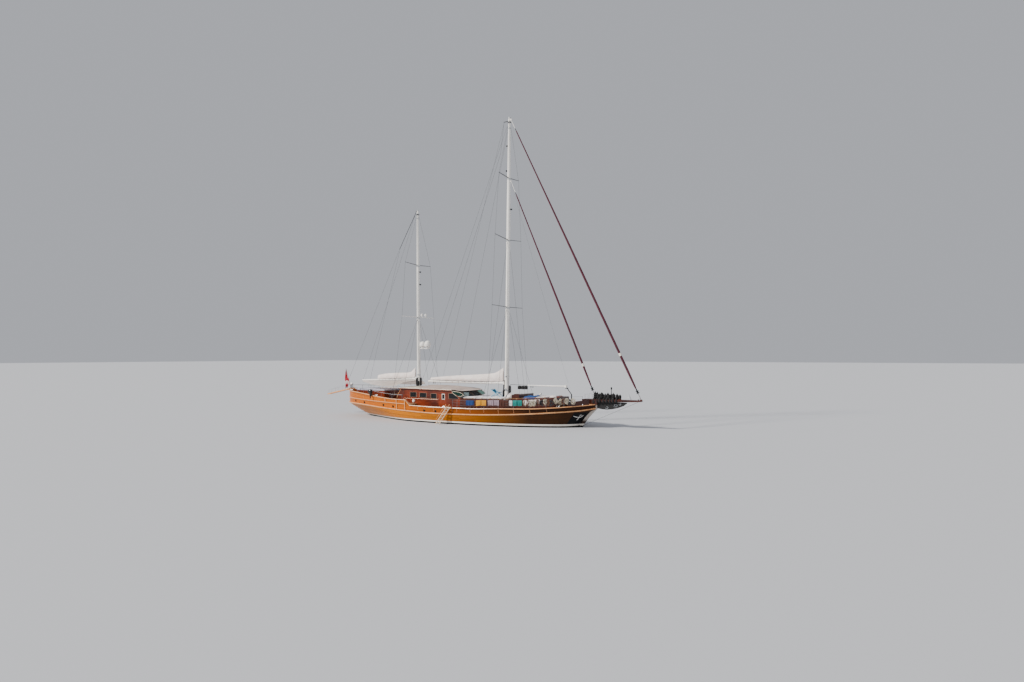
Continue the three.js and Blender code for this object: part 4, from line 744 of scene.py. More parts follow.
class Form:
    """Gathers the faces of one piece, in metres in the yacht's frame, and makes the piece of them."""

    def __init__(self) -> None:
        """Starts empty."""
        self.mesh = bmesh.new()

    def loft(self, rings: Sequence[Sequence[Hold]], closed: bool = True, caps: bool = True) -> "Form":
        """Joins rings of points with faces.

        Args:
            rings: Lists of points, all of one length.
            closed: Whether each ring closes on itself.
            caps: Whether the first and last rings get a face.

        Returns:
            This form.
        """
        rows = [[self.mesh.verts.new(p) for p in ring] for ring in rings]
        count = len(rows[0])
        for low, high in zip(rows, rows[1:]):
            for i in range(count if closed else count - 1):
                j = (i + 1) % count
                self.mesh.faces.new((low[i], low[j], high[j], high[i]))
        if caps and closed:
            self.mesh.faces.new(rows[0][::-1])
            self.mesh.faces.new(rows[-1])
        return self

    def tube(self, points: Sequence[Hold], radius: float | Sequence[float], sides: int = 8) -> "Form":
        """Runs a round bar along points.

        Args:
            points: The middle of the bar.
            radius: Its radius, or one for each point.
            sides: Faces round it.

        Returns:
            This form.
        """
        path = [Vector(p) for p in points]
        radii = [radius] * len(path) if isinstance(radius, (int, float)) else list(radius)
        across = (path[1] - path[0]).normalized().orthogonal()
        rings = []
        for i, at in enumerate(path):
            along = (path[min(i + 1, len(path) - 1)] - path[max(i - 1, 0)]).normalized()
            across = (across - along * across.dot(along)).normalized()
            other = along.cross(across)
            rings.append([at + (across * math.cos(a) + other * math.sin(a)) * radii[i] for a in bearings(sides)])
        return self.loft(rings)

    def turned(self, profile: Sequence[Hold], at: Hold, axis: Hold = (0, 0, 1), sides: int = 20) -> "Form":
        """Turns a profile about an axis, as on a lathe.

        Args:
            profile: Radius and distance along the axis, row by row.
            at: Where the axis starts.
            axis: Its direction.
            sides: Faces round it.

        Returns:
            This form.
        """
        along = Vector(axis).normalized()
        across = along.orthogonal().normalized()
        other = along.cross(across)
        rings = []
        for radius, reach in profile:
            centre, spoke = Vector(at) + along * reach, max(radius, POINT_RADIUS)
            rings.append([centre + (across * math.cos(a) + other * math.sin(a)) * spoke for a in bearings(sides)])
        return self.loft(rings)

    def block(self, low: Hold, high: Hold, round_by: float = 0.008, turn: Matrix | None = None) -> "Form":
        """Adds a block with rounded edges.

        Args:
            low: Its lowest corner.
            high: Its highest corner.
            round_by: Radius of its edges.
            turn: A turn about its middle.

        Returns:
            This form.
        """
        a, b = Vector(low), Vector(high)
        place = Matrix.Translation((a + b) / 2)
        if turn is not None:
            place = place @ turn.to_4x4()
        scale = Matrix.Diagonal((*(b - a), 1.0))
        made = bmesh.ops.create_cube(self.mesh, size=1.0, matrix=place @ scale)
        edges = {edge for vert in made["verts"] for edge in vert.link_edges}
        bmesh.ops.bevel(
            self.mesh, geom=list(edges), offset=round_by, segments=2, profile=0.6, affect="EDGES", clamp_overlap=True
        )
        return self

    def rim(self, outline: Sequence[Hold], width: float, thickness: Hold) -> "Form":
        """Frames an outline that lies in the XZ plane with a flat moulding.

        Args:
            outline: Points [x, z] round the opening.
            width: How far the moulding reaches outwards from the outline.
            thickness: The moulding's two faces along Y.

        Returns:
            This form.
        """
        cx = sum(p[0] for p in outline) / len(outline)
        cz = sum(p[1] for p in outline) / len(outline)
        wide = []
        for x, z in outline:
            reach = math.hypot(x - cx, z - cz)
            wide.append((x + (x - cx) * width * MITRE / reach, z + (z - cz) * width * MITRE / reach))
        y0, y1 = thickness
        loops = [(outline, y0), (outline, y1), (wide, y1), (wide, y0), (outline, y0)]
        return self.loft([[(x, y, z) for x, z in loop] for loop, y in loops], caps=False)

    def piece(
        self, name: str, finish: Finish, slot: str, body: str = "hull", smooth: float = 40.0
    ) -> Thing:
        """Makes the piece, which rides on a body.

        Args:
            name: Name of the piece.
            finish: Its finish.
            slot: The record's material slot; not used.
            body: The CAD body that it moves with.
            smooth: Edges sharper than this angle in degrees stay sharp.

        Returns:
            The piece.
        """
        bmesh.ops.remove_doubles(self.mesh, verts=self.mesh.verts, dist=SAME_POINT)
        bmesh.ops.recalc_face_normals(self.mesh, faces=self.mesh.faces)
        data = bpy.data.meshes.new(name)
        self.mesh.to_mesh(data)
        self.mesh.free()
        data.polygons.foreach_set("use_smooth", [True] * len(data.polygons))
        data.set_sharp_from_angle(angle=math.radians(smooth))
        data.materials.append(finish.material())
        piece = bpy.data.objects.new(name, data)
        bpy.context.scene.collection.objects.link(piece)
        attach(piece, body)
        LOG.info("%s: %d faces", name, len(data.polygons))
        return piece


class Skin:
    """Finds places on the faces of CAD nodes."""

    def __init__(self, *names: str) -> None:
        """Reads the nodes' faces.

        Args:
            *names: The nodes.
        """
        points: list[Vector] = []
        faces: list[list[int]] = []
        for name in names:
            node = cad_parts[name]
            start = len(points)
            points += [node.matrix_world @ v.co for v in node.data.vertices]
            faces += [[start + i for i in p.vertices] for p in node.data.polygons]
        self.points = points
        self.tree = BVHTree.FromPolygons(points, faces)

    def side(self, x: float, z: float, side: Side = Side.STARBOARD) -> tuple[Vector, Vector]:
        """Finds the outermost place at a station and a height, or just under it.

        Args:
            x: The station.
            z: The height.
            side: The side of the yacht.

        Returns:
            The place, and the direction out of the skin there.
        """
        for drop in range(12):
            start = Vector((x, OUTSIDE * side, z - NEXT_LOOK * drop))
            hit, normal, _, _ = self.tree.ray_cast(start, Vector((0, -side, 0)))
            if hit is not None:
                return hit, normal if normal.y * side > 0 else -normal
        raise ValueError(f"nothing at x {x}, z {z}")

    def top(self, x: float, y: float) -> float:
        """Finds the height of the highest face over a place.

        Args:
            x: The station.
            y: The distance from the middle line, with its sign.

        Returns:
            The height.
        """
        hit, _, _, _ = self.tree.ray_cast(Vector((x, y, ALOFT)), Vector((0, 0, -1)))
        if hit is None:
            raise ValueError(f"nothing over x {x}, y {y}")
        return hit.z


def sagging(start: Hold, end: Hold, sag: float, steps: int = 12) -> list[Vector]:
    """Hangs a line between two places.

    Args:
        start: One end.
        end: The other.
        sag: How far its middle hangs under the straight line.
        steps: How many parts it has.

    Returns:
        The points of the line.
    """
    a, b = Vector(start), Vector(end)
    return [a.lerp(b, t / steps) - Vector((0, 0, 4 * sag * (t / steps) * (1 - t / steps))) for t in range(steps + 1)]


def smooth_rows(rows: Sequence[Hold], count: int) -> list[list[float]]:
    """Reads a table of rows at even steps of its first column, on a smooth curve.

    Args:
        rows: The table, its first column rising or falling.
        count: How many rows to give.

    Returns:
        The rows.
    """
    first, last = rows[0][0], rows[-1][0]
    out = []
    for k in range(count):
        x = first + (last - first) * k / (count - 1)
        i = next((i for i in range(len(rows) - 1) if (rows[i + 1][0] - x) * (last - first) >= 0), len(rows) - 2)
        p0, p1, p2, p3 = rows[max(i - 1, 0)], rows[i], rows[i + 1], rows[min(i + 2, len(rows) - 1)]
        gap = p2[0] - p1[0]
        t = (x - p1[0]) / gap
        values = [x]
        for c in range(1, len(p1)):
            m1 = (p2[c] - p0[c]) / (p2[0] - p0[0]) * gap if p2[0] != p0[0] else 0.0
            m2 = (p3[c] - p1[c]) / (p3[0] - p1[0]) * gap if p3[0] != p1[0] else 0.0
            cubic = (
                (2 * t**3 - 3 * t**2 + 1) * p1[c] + (t**3 - 2 * t**2 + t) * m1
                + (3 * t**2 - 2 * t**3) * p2[c] + (t**3 - t**2) * m2
            )
            low, high = sorted((p1[c], p2[c]))
            values.append(min(max(cubic, low), high))
        out.append(values)
    return out


def lay_sheet(
    name: str, rows: Sequence[Sequence[Hold]], finish: Finish, slot: str,
    node: str = "", body: str = "hull", smooth: float = 180.0,
) -> None:
    """Args:
        name: Name of the cloth.
        rows: Its points row by row.
        finish: Its finish.
        slot: The record's material slot.
        node: The CAD node that it stands for, if there is one.
        body: The CAD body that it moves with.
        smooth: Edges sharper than this angle in degrees stay sharp.
    """
    piece = Form().loft(rows, closed=False, caps=False).piece(name, finish, slot, body, smooth)
    if node:
        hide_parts(node)


def bake(piece: Thing) -> None:
    """Applies the modifiers of a piece to its mesh.

    Args:
        piece: The piece.
    """
    graph = bpy.context.evaluated_depsgraph_get()
    made = bpy.data.meshes.new_from_object(piece.evaluated_get(graph))
    piece.modifiers.clear()
    old, piece.data = piece.data, made
    bpy.data.meshes.remove(old)


def inflate(pads: Sequence[Thing], voxel: float = 0.035, cap: float = 0.022) -> None:
    """Blows pads up a little in a cloth simulation, and keeps the result in their meshes.

    Args:
        pads: The closed pads.
        voxel: Size of the faces that they are remade with.
        cap: The most that a point moves.
    """
    rest: dict[str, list[Vector]] = {}
    for pad in pads:
        remesh = pad.modifiers.new("remesh", "REMESH")
        remesh.mode = "VOXEL"
        remesh.voxel_size = voxel
        bake(pad)
        rest[pad.name] = [v.co.copy() for v in pad.data.vertices]
        cloth = pad.modifiers.new("cloth", "CLOTH")
        cloth.settings.quality = 4
        cloth.settings.use_pressure = True
        cloth.settings.uniform_pressure_force = 4.0
        cloth.settings.effector_weights.gravity = 0.0
    for step in range(1, BLOWN_FRAMES + 1):
        bpy.context.scene.frame_set(step)
    graph = bpy.context.evaluated_depsgraph_get()
    for pad in pads:
        swollen = [v.co.copy() for v in pad.evaluated_get(graph).data.vertices]
        floor = min(p.z for p in rest[pad.name])
        pad.modifiers.clear()
        for vert, start, end in zip(pad.data.vertices, rest[pad.name], swollen):
            move = end - start
            if move.length > cap:
                move *= cap / move.length
            place = start + move
            place.z = max(place.z, floor)
            vert.co = place
        pad.modifiers.new("round", "SUBSURF").levels = 1
        bake(pad)
        pad.data.polygons.foreach_set("use_smooth", [True] * len(pad.data.polygons))
    bpy.context.scene.frame_set(1)


# The yacht's own parts


@dataclass
class Studio:
    """The camera, a pale floor at the waterline, and soft light."""

    eye: Point = (39.71, -58.76, 6.73)
    turn: float = 29.9
    tilt: float = 1.17
    focal: float = 683.0  # pixels
    floor_half: float = 600.0
    floor_paint: str = "#bfc2c8"
    lamps: tuple = (("key", 5.2, 0.12, 34.0, -42.0), ("fill", 0.25, 1.2, 25.0, 30.0))  # power, spread, height, bearing
    lamp_colour: Point = (1.0, 0.95, 0.88)
    sky_colour: str = "#dfe2ea"
    sky_power: float = 0.62

    def build(self) -> None:
        """Sets up the camera, floor and lights."""
        lens = bpy.data.cameras.new("camera")
        lens.sensor_width = 36.0
        lens.lens = self.focal / PICTURE_WIDTH * lens.sensor_width
        lens.clip_end = 2000.0
        camera = bpy.data.objects.new("camera", lens)
        turn, tilt = math.radians(self.turn), math.radians(self.tilt)
        ahead = Vector((-math.sin(turn) * math.cos(tilt), math.cos(turn) * math.cos(tilt), math.sin(tilt)))
        camera.location = self.eye
        camera.rotation_euler = ahead.to_track_quat("-Z", "Y").to_euler()
        bpy.context.scene.collection.objects.link(camera)
        bpy.context.scene.camera = camera
        self.lights()
        self.floor()

    def floor(self) -> None:
        """Lays the floor."""
        h = self.floor_half
        data = bpy.data.meshes.new("floor")
        data.from_pydata([(-h, -h, 0), (h, -h, 0), (h, h, 0), (-h, h, 0)], [], [(0, 1, 2, 3)])
        pale = bpy.data.materials.new("pale_floor")
        pale.use_nodes = True
        shader = pale.node_tree.nodes["Principled BSDF"]
        shader.inputs["Base Color"].default_value = linear(self.floor_paint)
        shader.inputs["Roughness"].default_value = 0.85
        data.materials.append(pale)
        floor = bpy.data.objects.new("floor", data)
        bpy.context.scene.collection.objects.link(floor)

    def lights(self) -> None:
        """Hangs a broad low sun and a soft sky."""
        for name, energy, angle, height, bearing in self.lamps:
            lamp = bpy.data.objects.new(name, bpy.data.lights.new(name, "SUN"))
            lamp.data.energy = energy
            lamp.data.angle = angle
            lamp.data.color = self.lamp_colour
            up, round_by = math.radians(height), math.radians(bearing)
            towards = Vector((math.cos(up) * math.sin(round_by), -math.cos(up) * math.cos(round_by), math.sin(up)))
            lamp.rotation_euler = towards.to_track_quat("Z", "Y").to_euler()
            bpy.context.scene.collection.objects.link(lamp)
        world = bpy.data.worlds.new("soft_sky")
        world.use_nodes = True
        sky = world.node_tree.nodes["Background"]
        sky.inputs["Color"].default_value = linear(self.sky_colour)
        sky.inputs["Strength"].default_value = self.sky_power
        bpy.context.scene.world = world


@dataclass
class Solids:
    """The finishes of the CAD nodes that are shown."""

    finishes: tuple = (
        (HULL_VARNISH, "hull"), (BULWARK_VARNISH, "bulwark"), (STEM_ENAMEL, "stem_post"),
        (RAIL_ENAMEL, "cap_rail side_rails passerelle"), (TEAK_DECK, "main_deck quarter_deck"),
        (TEAK, "hatch_lid aft_table"),
        (MAHOGANY, "sunbed_base deckhouse_side_starboard deckhouse_side_port helm_wheel"),
        (ANTIFOULING, "keel rudder"), (KNEE_ENAMEL, "head_knee"), (BRONZE, "propeller"),
        (DARK_MAHOGANY, "washboard_starboard washboard_port coachroof bowsprit"),
        (IRON, "windlass staysail_boom_post"), (GALVANISED, "windlass_drums"),
        (MAHOGANY_UPRIGHT, "deckhouse_aft companion_door side_door helm_console flagstaff"), (ROOF, "deckhouse_roof"),
        (PALE_FRAME, "windscreen_frame"), (SCREEN_GLASS, "windscreen_glass"),
        (MAST_ENAMEL, "main_boom mizzen_boom staysail_boom"), (WIRE, "main_shrouds mizzen_shrouds"),
        (MAIN_MAST_ENAMEL, "main_mast"), (MIZZEN_MAST_ENAMEL, "mizzen_mast"),
        (SATIN_STEEL, "lifelines_port lifelines_starboard stern_rail"), (TREAD_ENAMEL, "boarding_ladder"),
    )

    def dress(self) -> None:
        """Gives each node its finish."""
        for finish, names in self.finishes:
            for name in names.split():
                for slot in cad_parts[name].material_slots:
                    slot.link = "DATA"
                    slot.material = finish.material()
                LOG.info("%s: %s", name, finish.name)


@dataclass
class HullTrim:
    """Port lights, freeing strips, a painted gull and the scrolled head of the bow."""

    lights: tuple = ((-12.36, 1.75), (-10.63, 1.67), (-7.40, 1.53), (-5.96, 1.44), (-1.77, 1.21), (-0.39, 1.19))
    light_radius: float = 0.12
    gull: tuple = (
        # x and height of each stroke's ends and middle, and its half-width
        ((13.3, 0.68), (13.5, 0.86), (13.62, 1.12), 0.05), ((13.62, 1.12), (13.72, 1.2), (13.8, 1.16), 0.035),
        ((13.18, 1.1), (13.35, 1.0), (13.52, 0.95), 0.045), ((13.5, 0.93), (13.72, 0.98), (13.9, 1.2), 0.045),
    )
    curls: tuple = (
        # centre x and height, radius, turns, start angle
        (16.0, 1.92, 0.13, 0.9, 3.4), (16.85, 2.12, 0.15, 1.3, 3.6), (17.3, 2.26, 0.1, 1.0, 2.6),
    )
    strips: tuple = (-13.1, -10.7, -9.2, -2.6, -0.6, 1.6, 2.15, 3.65, 5.15, 6.65, 8.15, 9.65, 11.15)
    strip_tops: tuple = ((-15, 2.7), (-4.3, 2.0), (-3.6, 1.6), (6.6, 1.6), (14.9, 2.0))  # x and height
    bollards: tuple = (-13.4, -8.6, 0.6, 12.1, 13.9)
    bollard_tops: tuple = ((-15, 2.5), (-4, 1.9), (6.6, 1.55), (14.9, 2.0))
    skin: Skin = field(default_factory=lambda: Skin("hull", "bulwark"))

    def build(self) -> None:
        """Makes every piece of the trim."""
        self.port_lights()
        self.bulwark_strips()
        self.painted_gull()
        self.head_scroll()
        self.bollard_pairs()

    def port_lights(self) -> None:
        """Sets round opening lights in bronze rims."""
        rims, panes = Form(), Form()
        r = self.light_radius
        ring = ((0.78, -0.02), (0.78, 0.006), (0.86, 0.02), (1.0, 0.016), (1.12, 0.004), (1.12, -0.02), (0.78, -0.02))
        for x, z in self.lights:
            for side in Side:
                at, out = self.skin.side(x, z, side)
                rims.turned([(r * share, reach) for share, reach in ring], at, out)
                panes.turned([(0, -0.004), (r * 0.8, -0.004), (r * 0.8, 0.004), (0, 0.007)], at, out)
        rims.piece("port_light_rims", BRONZE, "bronze")
        panes.piece("port_light_panes", DARK_GLASS, "glass")

    def bulwark_strips(self) -> None:
        """Nails half-round wearing strips down the bulwark at the stanchions."""
        form = Form()
        for x in self.strips:
            for side in Side:
                high = self.skin.side(x, curve_through(self.strip_tops, x), side)[0].z
                points = []
                for k in range(5):
                    at, out = self.skin.side(x, high - 0.02 - k * 0.08, side)
                    points.append(at + out * 0.004)
                form.tube(points, 0.014, 6)
        form.piece("bulwark_strips", RAIL_ENAMEL, "rail_paint")

    def painted_gull(self) -> None:
        """Lays a gull of a few raised brush strokes in pale paint on each bow."""
        form = Form()
        for side in Side:
            for start, middle, end, half in self.gull:
                points, widths = [], []
                for t in (k / 8 for k in range(9)):
                    x, z = ((1 - t) ** 2 * a + 2 * t * (1 - t) * b + t * t * c for a, b, c in zip(start, middle, end))
                    at, out = self.skin.side(x, z, side)
                    swell = math.sin(math.pi * (0.08 + 0.84 * t))
                    points.append(at - out * half * 0.6 * swell)
                    widths.append(half * swell)
                form.tube(points, widths, 10)
        form.piece("painted_gull", MAST_ENAMEL, "white_paint", smooth=60.0)

    def head_scroll(self) -> None:
        """Carves pale curls on the knee under the bowsprit."""
        form = Form()
        knee = Skin("head_knee")
        for side in Side:
            for x0, z0, size, turns, start in self.curls:
                face = knee.side(x0, z0 + 0.1, side)[0]
                curl, widths = [], []
                for t in (k / 25 for k in range(26)):
                    angle = start + math.tau * turns * t
                    reach = size * (1 - 0.7 * t)
                    x, z = x0 + 1.5 * reach * math.cos(angle), z0 + reach * math.sin(angle)
                    hit, _, _, _ = knee.tree.ray_cast(Vector((x, OUTSIDE * side, z)), Vector((0, -side, 0)))
                    curl.append(Vector((x, (hit or face).y + 0.004 * side, z)))
                    widths.append(0.026 * math.sin(math.pi * (0.1 + 0.8 * t)))
                form.tube(curl, widths)
        form.piece("head_scroll", SCROLL_ENAMEL, "white_paint")

    def bollard_pairs(self) -> None:
        """Bolts pairs of bollards with a bar across them on the cap rail."""
        form = Form()
        cap = Skin("cap_rail")
        bollard = ((0.036, 0.0), (0.03, 0.03), (0.026, 0.1), (0.042, 0.13), (0.03, 0.15), (0, 0.155))
        for x in self.bollards:
            for side in Side:
                at, _ = self.skin.side(x, curve_through(self.bollard_tops, x), side)
                y = at.y - 0.05 * side
                z = cap.top(x, y) - 0.002
                form.block((x - 0.17, y - 0.045, z), (x + 0.17, y + 0.045, z + 0.014))
                for end in (-0.1, 0.1):
                    form.turned(bollard, (x + end, y, z + 0.01), sides=14)
                form.tube([(x - 0.19, y, z + 0.085), (x + 0.19, y, z + 0.085)], 0.014)
        form.piece("cap_bollards", STAINLESS, "stainless")


@dataclass
class DeckGear:
    """Grab rails, a hatch, ventilators, bundles and ropes on the coachroof and fore deck."""

    rail_edge: tuple = ((1.2, 2.12), (6.5, 2.08), (10.6, 1.76))  # x and half-width
    hatch: Hold = (11.0, 0.0)
    cowls: tuple = ((6.1, 1.35), (6.1, -1.75), (8.2, 1.5))
    bags: tuple = (
        # name, aft end, fore end, middle, half-width, height, finish and slot
        ("sail_bag", 5.95, 6.72, -1.0, 0.45, 0.6, CANVAS, "cream_cloth"),
        ("folded_rug", 6.75, 7.4, -1.05, 0.4, 0.12, BROWN_WOOL, "maroon_cloth"),
        ("dark_cover", 7.42, 7.88, -1.0, 0.4, 0.12, BLACK_CANVAS, "black_cloth"),
        ("stowed_cover", 10.6, 11.3, -0.95, 0.35, 0.24, CANVAS, "cream_cloth"),
    )
    coils: str = "pale brown pale pale brown black pale brown black pale pale brown pale black pale pale"
    first_coil: float = 9.12
    last_coil: float = 13.95
    coil_pitch: float = 0.31
    deck_coils: tuple = ((12.2, 1.6), (12.2, -1.6), (-9.6, -2.4), (-3.2, 2.75))
    break_of_deck: float = -4.2  # the quarter deck lies aft of it
    roof: Skin = field(default_factory=lambda: Skin("coachroof", "main_deck"))

    def build(self) -> None:
        """Makes every piece of the gear."""
        self.grab_rails()
        self.hatches()
        self.bundles()
        self.hung_coils()
        self.chain_and_coils()

    def grab_rails(self) -> None:
        """Runs grab rails along both edges of the coachroof."""
        form = Form()
        for side in Side:
            rail = []
            for k in range(19):
                x = 1.7 + 8.8 * k / 18
                y = side * curve_through(self.rail_edge, x)
                z = self.roof.top(x, y)
                rail.append((x, y, z + 0.075))
                if k % 2 == 0:
                    form.block((x - 0.05, y - 0.016, z - 0.004), (x + 0.05, y + 0.016, z + 0.07), 0.006)
            form.tube(rail, 0.02)
        form.piece("coachroof_grab_rails", TEAK, "teak")

    def hatches(self) -> None:
        """Sets a glazed hatch and cowl ventilators on the coachroof."""
        wood, glass, cowls = Form(), Form(), Form()
        x, y = self.hatch
        z = self.roof.top(x, y)
        wood.block((x - 0.36, y - 0.42, z - 0.004), (x + 0.36, y + 0.42, z + 0.09), 0.014)
        for k in (-1, 1):
            glass.block((x - 0.28, y + k * 0.2 - 0.16, z + 0.086), (x + 0.28, y + k * 0.2 + 0.16, z + 0.1), 0.004)
        bend = ((0, -0.004, 0.055), (0, 0.16, 0.055), (0.03, 0.25, 0.07), (0.12, 0.3, 0.1), (0.2, 0.31, 0.125))
        for x, y in self.cowls:
            z = self.roof.top(x, y)
            cowls.tube([(x + ahead, y, z + up) for ahead, up, _ in bend], [radius for _, _, radius in bend], 14)
            cowls.turned([(0.09, 0.0), (0.09, 0.02), (0.06, 0.04)], (x, y, z - 0.003), sides=16)
        wood.piece("coachroof_hatches", MAHOGANY, "mahogany")
        glass.piece("hatch_glass", DARK_GLASS, "glass")
        cowls.piece("cowl_ventilators", DOME_SHELL, "white_paint")

    def bag(self, name: str, low: Hold, high: Hold, finish: Finish, slot: str, seed: float) -> None:
        """Fills one soft bag, which sags and creases.

        Args:
            name: Name of the piece.
            low: Its lowest corner.
            high: Its highest corner.
            finish: Its cloth.
            slot: The record's material slot.
            seed: Shifts its creases.
        """
        rings = []
        middle, half = (low[1] + high[1]) / 2, (high[1] - low[1]) / 2
        height = high[2] - low[2]
        for k in range(19):
            t = k / 18
            swell = math.sin(math.pi * min(max(t, 0.02), 0.98)) ** 0.45
            ring = []
            for angle in bearings(20):
                bump = 1 + 0.14 * ripple(t * 6, angle, 1.0, seed)
                up = (max(math.sin(angle), -0.6) * 0.5 + 0.35) * height * 0.95 * swell * bump
                place = (low[0] + (high[0] - low[0]) * t, middle + math.cos(angle) * half * swell * bump)
                ring.append((*place, min(max(low[2], low[2] + up), high[2] + 0.05)))
            rings.append(ring)
        Form().loft(rings).piece(name, finish, slot, smooth=180.0)

    def bundles(self) -> None:
        """Lays bags on the coachroof."""
        for name, x0, x1, y, half, height, finish, slot in self.bags:
            base = min(self.roof.top(x, y) for x in (x0 + 0.05, x1 - 0.05)) - 0.004
            self.bag(name, (x0, y - half, base), (x1, y + half, base + height), finish, slot, x0)

    def hung_coils(self) -> None:
        """Hangs made-up coils along the lifelines of the fore deck."""
        finishes = {
            "pale": (ROPE, "white_cloth", Form()), "brown": (BROWN_ROPE, "maroon_cloth", Form()),
            "black": (DARK_ROPE, "black_cloth", Form()),
        }
        line = Skin("lifelines_starboard")
        for k, kind in enumerate(self.coils.split()):
            x = self.first_coil + self.coil_pitch * k
            near = [p for p in line.points if abs(p.x - x) < 0.9]
            if not near or x > self.last_coil:
                continue
            y = sum(p.y for p in near) / len(near)
            middle = max(p.z for p in near) - 0.27 + 0.05 * math.sin(k * 2.3)
            for turn in range(7):
                wide = 0.07 + 0.022 * (turn * 3 % 5) + 0.03 * abs(math.sin(k + turn))
                tall = 0.2 + 0.02 * (turn * 2 % 4) + 0.05 * math.sin(k * 1.7 + turn)
                loop = [
                    (x + wide * math.cos(a) + 0.05 * math.sin(turn * 2.1 + k) + 0.03 * math.sin(2 * a + k),
                     y + 0.1 + 0.03 * (turn - 3) + 0.02 * math.sin(3 * a), middle + tall * math.sin(a))
                    for a in bearings(18, closed=True)
                ]
                finishes[kind][2].tube(loop, 0.022, 6)
        for kind, (finish, slot, form) in finishes.items():
            form.piece(f"hung_coils_{kind}", finish, slot)

    def chain_and_coils(self) -> None:
        """Runs the anchor chain from the windlass and flakes ropes down on deck."""
        chain = Form()
        for y in (-0.42, 0.42):
            for k in range(22):
                x = 13.12 + 0.055 * k
                z = self.chain_height(x)
                flat = k % 2 == 0
                ring = [
                    (x + 0.036 * math.cos(a), y * (1 - 0.02 * k) + (0.018 * math.sin(a) if flat else 0),
                     z + (0 if flat else 0.018 * math.sin(a)))
                    for a in bearings(12, closed=True)
                ]
                chain.tube(ring, 0.007, 5)
        chain.piece("anchor_chain", GALVANISED, "dark_iron")
        rope = Form()
        for x, y in self.deck_coils:
            z = Skin("main_deck" if x > self.break_of_deck else "quarter_deck").top(x, y)
            points = []
            for k in range(96):
                angle = k * 0.42
                reach = 0.1 + 0.13 * ((k % 48) / 48)
                points.append((x + reach * math.cos(angle), y + reach * math.sin(angle), z + 0.014 + 0.028 * (k // 48)))
            rope.tube(points, 0.013, 6)
        rope.piece("flaked_ropes", ROPE, "white_cloth")

    def chain_height(self, x: float) -> float:
        """Gives the height of the chain over the fore deck."""
        return self.roof.top(x, 0.42) + 0.05 if x < 13.6 else self.roof.top(13.55, 0.42) + 0.05 + (x - 13.6) * 0.3


